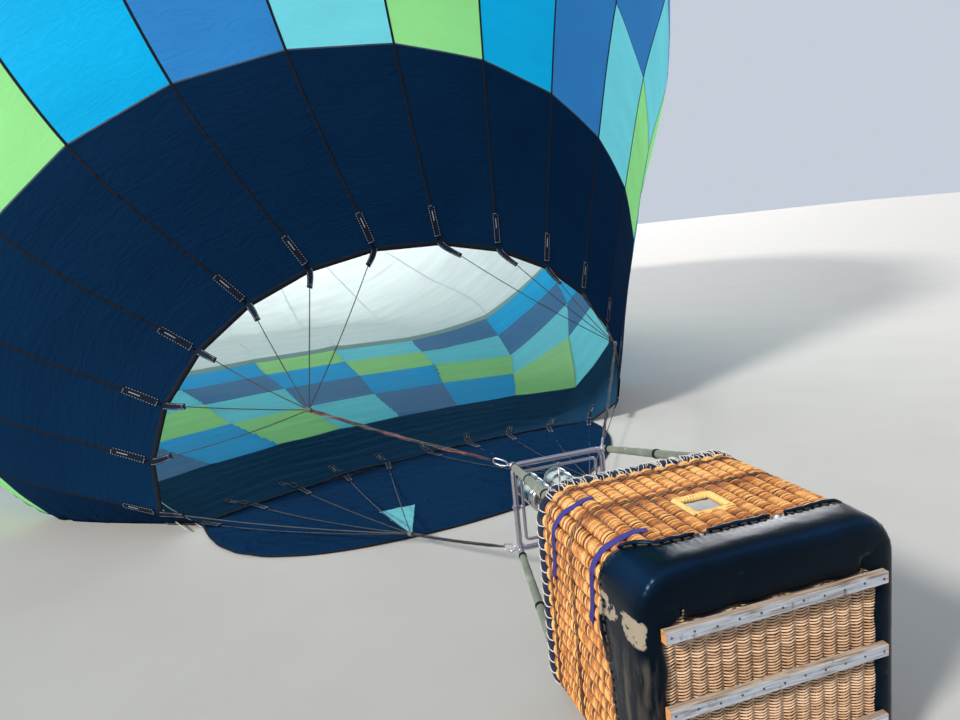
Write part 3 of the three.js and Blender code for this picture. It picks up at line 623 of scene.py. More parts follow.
def stitch(shape, start, stop, out):
    """Adds separate stitches in a straight row."""
    way = stop - start
    long = np.linalg.norm(way)
    way /= long
    for i in range(int(long / STITCH["pitch"])):
        low = start + way * i * STITCH["pitch"]
        ribbon(shape, [low, low + way * STITCH["long"]], [out, out], STITCH["half"], STITCH["thick"])


pockets, sleeves, stitching, slits = Shape(), Shape(), Shape(), Shape()
sleeve_tips = {}
for name, first_seam, side_x, side_z, gather in WIRE_GROUPS:
    for i in range(GROUP_SEAMS):
        seam = (first_seam + i) % GORES
        column = seam * COLUMNS
        grounded = cloth[0, column, 2] < 0.05
        steps = POCKET["steps"]
        spots = [along_seam(seam, POCKET["from"] + POCKET["long"] * step / steps)
                 for step in range(steps + 1)]
        outs = np.array([out for _, out in spots])
        path = np.array([at for at, _ in spots])
        if grounded:
            outs[:] = (0, 0, 1)
            path[:, 2] = np.maximum(path[:, 2], 0.012)
        path = path + outs * POCKET["proud"]
        ribbon(pockets, path, outs, POCKET["half"], POCKET["thick"])
        inset = sides_of(path, outs) * (POCKET["half"] - POCKET_MARGIN)
        top = path + outs * 0.0026
        for sign in (-1, 1):
            for j in range(steps):
                stitch(stitching, top[j] + inset[j] * sign, top[j + 1] + inset[j + 1] * sign, outs[j])
        for j in (0, steps):
            stitch(stitching, top[j] - inset[j], top[j] + inset[j], outs[j])
        ribbon(slits, top[6:11], outs[6:11], SLIT["half"], SLIT["thick"])

        base = hem_line[column] - forward[column] * 0.03 + outs[0] * 0.008
        reach = Vector(gather) - Vector(hem_line[column])
        if grounded:
            reach.z = 0
        middle = hem_line[column] + forward[column] * 0.028
        tip = hem_line[column] + np.array(reach.normalized()) * SLEEVE["long"]
        if grounded:
            base[2] = middle[2] = tip[2] = SLEEVE["on_ground"]
        shares = np.linspace(0, 1, SLEEVE["steps"] + 1)
        run = np.array([base * (1 - t) ** 2 + 2 * middle * t * (1 - t) + tip * t ** 2 for t in shares])
        widths = np.interp(shares, [0, 0.15, 1], [SLEEVE["base"], SLEEVE["base"], SLEEVE["tip"]])
        flat_out = np.cross(np.cross(tip - base, outs[0]), tip - base)
        flat_out /= np.linalg.norm(flat_out)
        run_outs = np.repeat(flat_out[None], len(run), axis=0)
        ribbon(sleeves, run, run_outs, widths, SLEEVE["thick"])
        sides = sides_of(run, run_outs)
        line = run + flat_out * 0.0062
        inset = sides * (widths - SLEEVE_MARGIN)[:, None]
        for sign in (-1, 1):
            for j in range(2, SLEEVE["steps"]):
                stitch(stitching, line[j] + inset[j] * sign, line[j + 1] + inset[j + 1] * sign, flat_out)
        across, end = sides[-2] * 0.022, run[-2] + flat_out * 0.0064
        stitch(stitching, end - across, end + across, flat_out)
        sleeve_tips[seam] = tip

NAVY_DOUBLED = weave_finish("doubled_navy_cloth", (0.0035, 0.009, 0.022), 0.005)
for name, shape, finish in [
    ("wire_pockets", pockets, NAVY_DOUBLED),
    ("wire_sleeves", sleeves, NAVY_DOUBLED),
    ("pocket_stitching", stitching, THREAD),
    ("pocket_slits", slits, THREAD),
]:
    piece = new_piece(name, shape, [finish], smooth=False)
    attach(piece, "balloon")

# Wires. Thin steel wires run from the sleeves of six seams to one point before each corner of the
# burner frame, where a keeper cord binds them, and on as a bundle to that corner's carabiner.
BASKET_X, BASKET_Y, BASKET_Z = 0.370, -5.820, 0.590
FRAME_UP = 2.200
FRAME_HALF_X, FRAME_HALF_Z = 0.330, 0.300
# how far an eye plate and a carabiner reach from a corner of the frame
LUG, CLIP_LONG = 0.030, 0.118
WIRE = {"radius": 0.0048, "sides": 6, "steps": 24, "into_sleeve": 0.05, "lowest": 0.012}
BUNDLE = {"strands": 5, "radius": 0.0075, "step": 0.04, "twist": 0.55, "sag": 0.010}
KEEPER = {"turns": 6, "steps": 12, "pitch": 0.0075, "radius": 0.016, "cord": 0.0042}


def unit(vector):
    vector = np.asarray(vector, float)
    return vector / np.linalg.norm(vector)


def tube(shape, path, radius, sides=8, closed=False):
    """Adds a round tube along a path, with one radius or one for each point. closed: the path is a loop."""
    path = np.asarray(path, float)
    count = len(path)
    ways = np.roll(path, -1, axis=0) - np.roll(path, 1, axis=0) if closed else np.gradient(path, axis=0)
    ways = ways / np.maximum(np.linalg.norm(ways, axis=1), 1e-9)[:, None]
    radii = np.broadcast_to(np.asarray(radius, float), (count,))
    side = np.cross(ways[0], (0, 0, 1) if abs(ways[0][2]) < 0.9 else (1, 0, 0))
    firsts = []
    for way in ways:
        side = unit(side - way * np.dot(side, way))
        firsts.append(side)
    slip = 0.0
    if closed:
        last = unit(firsts[-1] - ways[0] * np.dot(firsts[-1], ways[0]))
        slip = math.atan2(np.dot(np.cross(firsts[0], last), ways[0]), np.dot(firsts[0], last))
    start = len(shape.points)
    for i in range(count):
        second = np.cross(ways[i], firsts[i])
        for j in range(sides):
            turn = j / sides * math.tau - slip * i / count
            shape.points.append(path[i] + radii[i] * (math.cos(turn) * firsts[i] + math.sin(turn) * second))
    shape.join_rows(start, count, sides, loop=closed)
    if not closed:
        shape.cap_ends(start, count, sides)


def wire_finish(name, colour, metal, lay_length):
    """Wire or cord laid up from twisted strands."""
    made, tree = new_finish(name)
    strands = lay(tree, "ShaderNodeTexWave", {"wave_type": "BANDS", "bands_direction": "DIAGONAL"}, {
        "Vector": position(tree), "Scale": 1 / lay_length, "Distortion": 0.4}).outputs["Fac"]
    # painted shade: the grooves between the strands are half as bright as the strands
    solid_surface(tree, blend(tree, strands, shaded(colour, 0.5), colour), 0.5, {
        "Metallic": metal, "Normal": relief_of(tree, strands, 0.7, 0.0012)})
    return made


WIRE_STEEL = wire_finish("dark_wire", (0.045, 0.047, 0.052), 0.55, 0.012)
RED_CORD = wire_finish("red_cord", (0.17, 0.012, 0.014), 0.0, 0.014)
KEEPER_CORD = wire_finish("keeper_cord", (0.16, 0.15, 0.14), 0.0, 0.010)


def frame_corner(side_x, side_z):
    return np.array((BASKET_X + side_x * FRAME_HALF_X, BASKET_Y + FRAME_UP, BASKET_Z + side_z * FRAME_HALF_Z))


for name, first_seam, side_x, side_z, gather in WIRE_GROUPS:
    shape = Shape()
    gather = np.array(gather)
    corner = frame_corner(side_x, side_z)
    toward = unit(gather - corner)
    start = corner + toward * (LUG + CLIP_LONG)
    for i in range(GROUP_SEAMS):
        seam = (first_seam + i) % GORES
        tip = sleeve_tips[seam]
        span = np.linalg.norm(gather - tip)
        sag = span * (0.012 if side_x < 0 else 0.022) * (1 + 0.5 * math.sin(seam * 2.3))
        inner = tip - unit(gather - tip) * WIRE["into_sleeve"]
        run = []
        for t in np.linspace(0, 1, WIRE["steps"] + 1):
            at = inner * (1 - t) + gather * t
            at[2] = max(at[2] - sag * 4 * t * (1 - t), WIRE["lowest"])
            run.append(at)
        tube(shape, run, WIRE["radius"], WIRE["sides"])
    shape.paint(0)
    long = np.linalg.norm(gather - start)
    side = unit(np.cross(toward, (0, 0, 1)))
    over = np.cross(side, toward)
    loose = 0.5 if side_z > 0 else 0
    for strand in range(BUNDLE["strands"]):
        run = []
        for t in np.linspace(0, 1, int(long / BUNDLE["step"]) + 1):
            turn = t * long / BUNDLE["twist"] * math.tau + strand / BUNDLE["strands"] * math.tau
            away = BUNDLE["radius"] * (1 + loose * math.sin(t * 9 + strand * 2.1)) * min(1, t * 6 + 0.3)
            at = start + toward * long * t + (side * math.cos(turn) + over * math.sin(turn)) * away
            at[2] -= long * BUNDLE["sag"] * 4 * t * (1 - t)
            run.append(at)
        tube(shape, run, WIRE["radius"], WIRE["sides"])
        shape.paint(1 if name == "wires_upper_left" and strand == 0 else 0)
    run = []
    for step in range(KEEPER["turns"] * KEEPER["steps"] + 1):
        turns = step / KEEPER["steps"]
        around = side * math.cos(turns * math.tau) + over * math.sin(turns * math.tau)
        along = toward * (turns - KEEPER["turns"] / 2) * KEEPER["pitch"]
        run.append(gather - along + around * KEEPER["radius"])
    tube(shape, run, KEEPER["cord"], WIRE["sides"])
    shape.paint(2)
    wires = new_piece(name + "_laid", shape, [WIRE_STEEL, RED_CORD, KEEPER_CORD])
    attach(wires, "balloon")
    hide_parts(name)

# Scoop. A navy flap sewn to the lower edge of the mouth, laid out on the ground towards the basket,
# with a hem round its free edge and the creases of cloth that has been dragged over the ground.
# power: how square the flap's outline is at its left and right
SCOOP = {"reach": 1.750, "left_power": 0.6, "right_power": 1.15, "across": 72, "deep": 26, "sewn_in": 0.45}
SCOOP_FOLDS = {"apart": 0.21, "high": 0.020, "small_apart": 0.12, "small_high": 0.009, "lowest": 0.006}
SCOOP_HEM_RADIUS = 0.008


def loose_cloth(piece, points, second, slack):
    """Lays out cloth that is no gore by two of its points' coordinates, with no seam near."""
    lay_out(piece, [(points[i][0], points[i][second]) for face in piece.data.polygons for i in face.vertices])
    keep_number(piece, "seam_distance", 1.0)
    keep_number(piece, "slack", slack)


grounded_columns = [column for column in range(all_columns) if cloth[0, column, 2] < 0.02]
edge = [hem_line[column] + forward[column] * (HEM["half"] * 0.6) for column in grounded_columns]
edge = np.array(sorted(edge, key=lambda at: at[0]))
edge_share = np.linspace(0, 1, SCOOP["across"] + 1)
along_edge = run_along(edge)
along_edge /= along_edge[-1]
back = np.array([[np.interp(share, along_edge, edge[:, axis]) for axis in range(3)] for share in edge_share])
middle = (back[0] + back[-1]) / 2
half = (back[-1] - back[0]) / 2
half_way = unit((half[0], half[1], 0))
out_way = np.array((half_way[1], -half_way[0], 0))
front = []
for share in edge_share:
    angle = math.pi * (1 - share)
    across = math.cos(angle)
    power = SCOOP["left_power"] if across < 0 else SCOOP["right_power"]
    front.append(middle + half * across + out_way * SCOOP["reach"] * max(math.sin(angle), 0) ** power)
front = np.array(front)
shape = Shape()
for j in range(SCOOP["deep"] + 1):
    t = j / SCOOP["deep"]
    for start, stop in zip(back, front):
        at = start * (1 - t) + stop * t
        drift = uneven(at[0] * 0.8, at[1] * 0.8, 2.0)
        folds = math.sin(at[1] / SCOOP_FOLDS["apart"] * math.tau + at[0] * 1.3 + 5 * drift) * 0.5 + 0.5
        slant = (at[1] + at[0] * 0.4) / SCOOP_FOLDS["small_apart"]
        small = math.sin(slant * math.tau + 8 * drift) * 0.5 + 0.5
        calm = min(1, 4 * t + 0.15) * min(1, 6 * (1 - t) + 0.3)
        high = SCOOP_FOLDS["high"] * folds + SCOOP_FOLDS["small_high"] * small
        at[2] = SCOOP_FOLDS["lowest"] + calm * high * (0.5 + abs(drift) * 1.6)
        shape.points.append(at)
shape.join_rows(0, SCOOP["deep"] + 1, len(back), ring=False, flipped=True)
scoop = new_piece("scoop_flap", shape, [NAVY])
scoop_points = shape.points
loose_cloth(scoop, scoop_points, 1, 1.0)
shape = Shape()
tube(shape, np.array(scoop_points[-len(back):]) + np.array((0, 0, 0.004)), SCOOP_HEM_RADIUS, 8)
scoop_hem = new_piece("scoop_hem", shape, [WEBBING])
for piece in (scoop, scoop_hem):
    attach(piece, "balloon")
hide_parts("scoop")

# Lip cords and patch. Two pale cords lie over the left end of the mouth's lip. A triangle of sky blue
# cloth is sewn over a torn place in the scoop.
LIP_CORDS = [
    [(-2.90, 0.02, 0.060), (-2.74, -0.38, 0.055), (-2.64, -0.65, 0.050),
     (-2.51, -0.97, 0.045), (-2.38, -1.25, 0.035)],
    [(-2.84, 0.03, 0.050), (-2.70, -0.34, 0.048), (-2.58, -0.60, 0.045),
     (-2.44, -0.86, 0.040), (-2.26, -1.22, 0.030)],
]
LIP_CORD_RADIUS = 0.0045
PATCH = {"corners": [(-0.68, -1.70), (-0.34, -1.70), (-0.50, -2.36)], "cuts": 10, "lift": 0.006}
LIP_CORD = wire_finish("pale_lip_cord", (0.62, 0.60, 0.52), 0.0, 0.012)
shape = Shape()
for corners in LIP_CORDS:
    path, _ = rows_between(np.array(corners)[:, None, :], [6] * (len(corners) - 1))
    tube(shape, path[:, 0], LIP_CORD_RADIUS, 6)
lip_cords = new_piece("lip_cords", shape, [LIP_CORD])
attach(lip_cords, "balloon")

shape = Shape()
cuts = PATCH["cuts"]
for i in range(cuts + 1):
    for j in range(cuts + 1 - i):
        shares = (1 - i / cuts - j / cuts, i / cuts, j / cuts)
        x, y = (sum(share * corner[axis] for share, corner in zip(shares, PATCH["corners"]))
                for axis in (0, 1))
        under = min(scoop_points, key=lambda at: (at[0] - x) ** 2 + (at[1] - y) ** 2)
        shape.points.append((x, y, under[2] + PATCH["lift"]))
start = 0
for i in range(cuts):
    row = cuts + 1 - i
    for j in range(row - 1):
        shape.faces.append((start + j, start + row + j, start + j + 1))
        if j < row - 2:
            shape.faces.append((start + j + 1, start + row + j, start + row + j + 1))
    start += row
patch = new_piece("scoop_patch", shape, [SKY])
loose_cloth(patch, shape.points, 1, 1.0)
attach(patch, "balloon")

# Basket walls. Split cane is woven row by row over upright stakes that stand 71 mm apart, so that
# each stake makes a rounded rib. A twisted band of darker cane runs round at two heights.
BASKET_WIDE, BASKET_TALL, BASKET_LONG = 1.200, 1.180, 1.050
BASKET_CORNER = 0.190
WALL_INSET = 0.0275
STAKE_RADIUS = 0.006
# a cane's half thickness and half height, how far it swings out and in round the stakes, and the
# distance from one row to the next; steps: points from one stake to the next where the weave shows,
# on the walls turned away, and below hide_covers, where the hide lies over it
CANE_WEAVE = {"thick": 0.0030, "high": 0.0032, "swing": 0.0165, "row": 0.0052, "from": 0.028, "to": 0.975,
              "hide_covers": 0.140}
CANE_STEPS = {"shown": 6, "turned_away": 4, "under_hide": 2}
RIB_ROUND = 0.52
# the twisted bands, and how much and how far they pull the swing of the canes in
BANDS_AT = (0.630, 0.905)
PINCH = {"share": 0.72, "reach": 0.020, "above": 0.008}
FOOT_HOLE = {"w": 0.460, "half_u": 0.080, "half_w": 0.078}
# an odd darker cane: how often and how much; the spread of all canes; the painted shade between two ribs
CANE_TONES = {"base": 0.36, "rare": 0.14, "rare_depth": 0.24, "spread": 0.44, "lighter": 0.15, "groove_shade": 0.36}

# name, quarter turns from the upper wall, half length of its flat, distance to it, stakes
WALLS = [
    ("wall_sky", 0, BASKET_WIDE / 2 - BASKET_CORNER, BASKET_TALL / 2 - WALL_INSET, 15),
    ("wall_right", 1, BASKET_TALL / 2 - BASKET_CORNER, BASKET_WIDE / 2 - WALL_INSET, 15),
    ("wall_ground", 2, BASKET_WIDE / 2 - BASKET_CORNER, BASKET_TALL / 2 - WALL_INSET, 15),
    ("wall_left", 3, BASKET_TALL / 2 - BASKET_CORNER, BASKET_WIDE / 2 - WALL_INSET, 15),
]
BEND = BASKET_CORNER - WALL_INSET
LENGTHWISE = np.array((0.0, 1.0, 0.0))
UPWARD = np.array((0.0, 0.0, 1.0))


def on_wall(quarter, flat, away, u, w, out):
    """Points of a wall: u along it from its middle, w from the bottom, and so far out of its mid face."""
    u, w, out = np.broadcast_arrays(np.asarray(u, float), np.asarray(w, float), np.asarray(out, float))
    over = np.clip((np.abs(u) - flat) / BEND, 0, None)
    sign = np.sign(u)
    x = np.where(over > 0, sign * (flat + (BEND + out) * np.sin(over)), u)
    d = away - BEND + (BEND + out) * np.cos(over)
    nx, nd = sign * np.sin(over), np.cos(over)
    for _ in range(quarter):
        x, d, nx, nd = d, -x, nd, -nx
    place = np.stack([x + BASKET_X, w + BASKET_Y, d + BASKET_Z], axis=-1)
    return place, np.stack([nx, np.zeros_like(nx), nd], axis=-1)


def woven_piece(name, runs, finish):
    """One piece of many canes. A run has points, outward and sideways directions, half sizes and tones."""
    shape = Shape()
    tones = []
    for path, outs, sides, thick, high, tone in runs:
        start = len(shape.points)
        ring = [path + outs * thick, path + sides * high, path - outs * thick, path - sides * high]
        shape.points.extend(np.stack(ring, axis=1).reshape(-1, 3))
        shape.join_rows(start, len(path), 4)
        tones.append(np.repeat(tone, 4))
    made = new_piece(name, shape, [finish])
    keep_number(made, "tone", np.concatenate(tones))
    return made


def tones_of(tree, value, stops):
    """A colour for each value, from three stops."""
    ramp = lay(tree, "ShaderNodeValToRGB", inputs={0: value})
    (first, low), (second, middle), (third, high) = stops
    elements = ramp.color_ramp.elements
    elements[0].position, elements[1].position = first, third
    elements[0].color, elements[1].color = (*low, 1), (*high, 1)
    elements.new(second).color = (*middle, 1)
    return ramp.outputs[0]


def cane_finish(name, dark, middle_tone, pale, roughness=0.42):
    """Peeled cane: each strand has its own tone, with fine fibres and darker spots. On the walls and bottom
    the tone also carries painted shade where a cane lies back in the weave.
    """
    made, tree = new_finish(name)
    where = position(tree)
    mixed = reckon(tree, "MULTIPLY_ADD", clouds(tree, where, 38.0, 4.0), 0.45, kept_number(tree, "tone"))
    mixed = reckon(tree, "MULTIPLY_ADD", clouds(tree, where, 3.2, 2.0), 0.35, mixed)
    base = tones_of(tree, mixed, [(0.42, dark), (0.72, middle_tone), (1.0, pale)])
    solid_surface(tree, base, roughness, {
        "Normal": relief_of(tree, clouds(tree, where, 420.0, 2.0), 0.5, 0.0006),
        "Coat Weight": 0.15, "Coat Roughness": 0.35})
    return made


CANE = cane_finish("honey_cane", (0.085, 0.022, 0.006), (0.48, 0.170, 0.038), (0.88, 0.50, 0.17))
CANE_DARK = cane_finish("brown_cane", (0.045, 0.016, 0.007), (0.12, 0.045, 0.017), (0.24, 0.105, 0.040))
CANE_PALE = cane_finish("pale_cane", (0.060, 0.028, 0.014), (0.47, 0.285, 0.160), (0.68, 0.47, 0.31))
CANE_YELLOW = cane_finish("yellow_cane", (0.40, 0.22, 0.05), (0.66, 0.42, 0.12), (0.82, 0.60, 0.24))

draw = random.Random(7)
passed = 0
for name, quarter, flat, away, stakes in WALLS:
    half = flat + BEND * math.pi / 4
    pitch = 2 * half / stakes
    runs = []
    spots = {}
    for where, steps in CANE_STEPS.items():
        us = (np.arange(stakes * steps) + 0.5) / steps * pitch - half
        us = np.concatenate([[-half + 0.0004], us, [half - 0.0004]])
        swell = np.cos(math.pi * ((us + half) / pitch - 0.5))
        swell = np.sign(swell) * np.abs(swell) ** RIB_ROUND
        drift = np.array([uneven(u * 2.1, quarter * 5.0, 0) for u in us])
        spots[where] = (us, swell, drift)
    in_sight = "shown" if name in ("wall_sky", "wall_left") else "turned_away"
    tone = 0.5
    for row in range(int((CANE_WEAVE["to"] - CANE_WEAVE["from"]) / CANE_WEAVE["row"])):
        w = CANE_WEAVE["from"] + row * CANE_WEAVE["row"]
        tone += 0.28 * (draw.random() - 0.5) + 0.10 * (0.5 - tone)
        pinched = max(math.exp(-((w - band - PINCH["above"]) / PINCH["reach"]) ** 2) for band in BANDS_AT)
        looser = 1 + 0.10 * (draw.random() - 0.5)
        swing = CANE_WEAVE["swing"] * (1 - PINCH["share"] * pinched) * looser * (-1) ** (row + passed)
        us, swell, drift = spots[in_sight if w > CANE_WEAVE["hide_covers"] else "under_hide"]
        wobble = np.array([uneven(u * 6.0, w * 5, quarter + 9.0) for u in us]) * 0.0022
        out = swing * swell
        place, outs = on_wall(quarter, flat, away, us, w + drift * 0.004 + wobble, out)
        rare = CANE_TONES["rare_depth"] * (draw.random() < CANE_TONES["rare"])
        odd = rare + CANE_TONES["spread"] * draw.random() - CANE_TONES["lighter"]
        tones = CANE_TONES["base"] + 0.24 * tone - odd + 0.05 * np.array([draw.random() for _ in us])
        # painted shade: a cane is darker where it swings in between two ribs
        tones -= CANE_TONES["groove_shade"] * np.clip(0.82 - out / CANE_WEAVE["swing"], 0, 1.3)
        parts = [np.full(len(us), True)]
        if name == "wall_sky" and abs(w - FOOT_HOLE["w"]) < FOOT_HOLE["half_w"]:
            parts = [us < -FOOT_HOLE["half_u"], us > FOOT_HOLE["half_u"]]
        for part in parts:
            runs.append((place[part], outs[part], LENGTHWISE,
                         CANE_WEAVE["thick"], CANE_WEAVE["high"], tones[part]))
    stake_w = np.linspace(CANE_WEAVE["from"] - 0.01, CANE_WEAVE["to"] + 0.01, 18)
    for stake in range(stakes):
        u = (stake + 0.5) * pitch - half
        path, outs = on_wall(quarter, flat, away, u, stake_w, 0.0)
        beside = np.cross(outs, LENGTHWISE)
        parts = [np.full(len(stake_w), True)]
        if name == "wall_sky" and abs(u) < FOOT_HOLE["half_u"]:
            parts = [stake_w < FOOT_HOLE["w"] - FOOT_HOLE["half_w"],
                     stake_w > FOOT_HOLE["w"] + FOOT_HOLE["half_w"]]
        for part in parts:
            tones = np.full(int(part.sum()), 0.3)
            runs.append((path[part], outs[part], beside[part], STAKE_RADIUS, STAKE_RADIUS, tones))
    passed += stakes
    wall = woven_piece(name + "_woven", runs, CANE)
    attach(wall, "balloon")
    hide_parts(name)

# Twisted bands. Three dark canes twisted round each other tie the weave down at two heights. Each
# band has two such ropes, one close above the other, that run right round and draw the ribs in.
BAND = {"cane": 0.0042, "twist": 0.0058, "pitch": 0.112, "steps": 504, "proud": 0.0075, "apart": 0.0155}


def round_basket(per_turn, out, w):
    """Points all round the basket's walls, with their outward directions and distance run."""
    places, outs = [], []
    for _, quarter, flat, away, _ in WALLS:
        half = flat + BEND * math.pi / 4
        us = np.linspace(-half, half, per_turn // 4, endpoint=False)
        place, normal = on_wall(quarter, flat, away, us, w, out)
        places.append(place)
        outs.append(normal)
    places, outs = np.concatenate(places), np.concatenate(outs)
    return places, outs, run_along(places)


runs = []
for w in BANDS_AT:
    for layer in (0, 1):
        places, outs, run = round_basket(BAND["steps"], BAND["proud"], w + layer * BAND["apart"])
        for strand in range(3):
            turn = run / BAND["pitch"] * math.tau + strand / 3 * math.tau + layer * 0.8
            path = (places + outs * (np.cos(turn) * BAND["twist"])[:, None]
                    + LENGTHWISE * (np.sin(turn) * BAND["twist"])[:, None])
            tones = 0.3 + 0.3 * np.sin(run * 3 + strand)
            path, ring_outs, tones = (np.concatenate([one, one[:1]]) for one in (path, outs, tones))
            runs.append((path, ring_outs, LENGTHWISE, BAND["cane"], BAND["cane"], tones))
bands = woven_piece("twisted_bands", runs, CANE_DARK)
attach(bands, "balloon")

# Foot hole. A square hole in the upper wall, used as a step when the basket stands. Its edge is
# bound with yellow cane that is wound round it, turn by turn, into a firm roll.
ROLL = {"radius": 0.0165, "cane": 0.0036, "pitch": 0.0074, "steps": 8, "outside": 0.012}
_, _, flat_sky, away_sky, _ = WALLS[0]
runs = []
hole_u, hole_w = FOOT_HOLE["half_u"] + ROLL["outside"], FOOT_HOLE["half_w"] + ROLL["outside"]
hole_corners = [np.array(corner) for corner in (
    (-hole_u, -hole_w, 0.0), (hole_u, -hole_w, 0.0), (hole_u, hole_w, 0.0), (-hole_u, hole_w, 0.0))]
hole_middle = np.array((BASKET_X, BASKET_Y + FOOT_HOLE["w"], BASKET_Z + away_sky + 0.001))
for i in range(4):
    start, stop = hole_corners[i], hole_corners[(i + 1) % 4]
    long = np.linalg.norm(stop - start)
    way = (stop - start) / long
    beside = np.array((way[1], -way[0], 0.0))
    turns = long / ROLL["pitch"]
    steps = int(turns * ROLL["steps"])
    t = np.linspace(0, 1, steps + 1)[:, None]
    outs = beside * np.cos(t * turns * math.tau) + UPWARD * np.sin(t * turns * math.tau)
    path = hole_middle + start + (stop - start) * t + outs * ROLL["radius"]
    tones = 0.35 + 0.2 * np.sin(np.arange(steps + 1) * 0.37)
    runs.append((path, outs, way, ROLL["cane"] * 0.8, ROLL["cane"], tones))
foot_roll = woven_piece("foot_hole_roll", runs, CANE_YELLOW)
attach(foot_roll, "balloon")

# Basket bottom. The same weave laid flat in paler, thicker cane, with stakes that run from the upper
# to the ground wall and small gaps between the canes.
BOTTOM = {"half_x": 0.512, "half_z": 0.500, "stakes": 15, "row": 0.0067, "thick": 0.0038, "high": 0.0043,
          "swing": 0.0105, "y": 0.006, "steps": 6, "bow": 0.0058, "dip": 0.0040, "stake": 0.0065}
runs = []
pitch = 2 * BOTTOM["half_x"] / BOTTOM["stakes"]
xs = np.linspace(-BOTTOM["half_x"], BOTTOM["half_x"], BOTTOM["stakes"] * BOTTOM["steps"] + 1)
wave = np.cos(math.pi * ((xs + BOTTOM["half_x"]) / pitch - 0.5))
tone = 0.5
for row in range(int(2 * BOTTOM["half_z"] / BOTTOM["row"])):
    z = -BOTTOM["half_z"] + row * BOTTOM["row"]
    if draw.random() < 0.5:
        tone = draw.random()
    swing = BOTTOM["swing"] * (1 + 0.25 * (draw.random() - 0.5)) * (-1) ** row
    bow = np.array([uneven(x * 14.0, z * 11, 4.0) for x in xs]) * BOTTOM["bow"]
    path = np.stack([BASKET_X + xs, BASKET_Y + BOTTOM["y"] - swing * wave,
                     BASKET_Z + z + bow - BOTTOM["dip"] * np.abs(wave)], axis=-1)
    tones = 0.26 + 0.34 * tone + 0.12 * np.array([draw.random() for _ in xs])
    # painted shade: a cane is darker where it dips in behind the stakes
    tones -= 0.22 * np.clip(0.45 - swing / BOTTOM["swing"] * wave, 0, 1.2)
    runs.append((path, -LENGTHWISE, UPWARD, BOTTOM["thick"], BOTTOM["high"], tones))
for stake in range(BOTTOM["stakes"]):
    zs = np.linspace(-BOTTOM["half_z"], BOTTOM["half_z"], 24)
    x = BASKET_X + (stake + 0.5) * pitch - BOTTOM["half_x"]
    path = np.stack(np.broadcast_arrays(x, BASKET_Y + BOTTOM["y"], BASKET_Z + zs), axis=-1)
    tones = np.full(24, 0.15)
    runs.append((path, -LENGTHWISE, np.array((1.0, 0, 0)), BOTTOM["stake"], BOTTOM["stake"], tones))
bottom = woven_piece("basket_floor_woven", runs, CANE_PALE)
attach(bottom, "balloon")
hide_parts("basket_floor")

# Hide. Thick black hide is wetted, wrapped round the lower edge of the basket and stitched down, so it
# is drum hard with puckers at the corners, a wavy stitched edge, and grey scuffs where it has dragged.

# how far it reaches up the walls, up the upper and the left one, and over the bottom from the top;
# from turn_in on it stretches with its reach
HIDE = {"reach": 0.212, "on_top": 0.172, "on_left": 0.335, "lip_on_top": 0.142, "turn_in": 0.035,
        "stations": 300, "stitch": 0.026, "stitch_rows": (0.200, 0.192), "stitch_radius": 0.0015}
# how far along the basket from its bottom, how far in from its outermost face
HIDE_PROFILE = [
    (0.212, 0.0145), (0.212, 0.006), (0.206, 0.0015), (0.17, 0.0), (0.12, -0.001), (0.07, 0.0),
    (0.035, 0.002), (0.012, 0.008), (-0.006, 0.020), (-0.016, 0.036), (-0.020, 0.055), (-0.021, 0.075),
    (-0.019, 0.092), (-0.013, 0.104), (-0.004, 0.108), (0.003, 0.106),
]
# places of the profile by number: how many wave with the edge, which the stitches pull in, and from
# where on it lies on the bottom, lies flat there, and ends
WAVY_EDGE, STITCHED, LIP_FIRST, LIP_FLAT, LIP_LAST = 5, (1, 2, 3), 9, 11, 12
# how far in the stretch that lies on the bottom begins and ends
LIP_IN, LIP_OUT = 0.036, 0.108
# stretches of the edge, by the distance round the basket, where the hide is rolled
EDGE_ROLLS = [(0.02, 0.34), (0.38, 0.70), (0.75, 1.06), (1.12, 1.30), (3.95, 4.22)]


def round_outline(inset, steps):
    """Points round the basket, so far inside its outline, with outward directions and distance run."""
    places, outs = [], []
    for _, quarter, flat, _, _ in WALLS:
        away = (BASKET_TALL if quarter % 2 == 0 else BASKET_WIDE) / 2
        half = flat + math.pi / 4 * BASKET_CORNER
        bend = BASKET_CORNER - inset
        for i in range(steps // 4):
            u = -half + 2 * half * i / (steps // 4)
            over = max(abs(u) - flat, 0) / BASKET_CORNER
            sign = 1 if u > 0 else -1
            nx, nd = sign * math.sin(over), math.cos(over)
            x = sign * (flat + bend * math.sin(over)) if over > 0 else u
            d = away - BASKET_CORNER + bend * math.cos(over)
            for _ in range(quarter):
                x, d, nx, nd = d, -x, nd, -nx
            places.append((x + BASKET_X, d + BASKET_Z))
            outs.append((nx, nd))
    return np.array(places), np.array(outs), run_along(places)


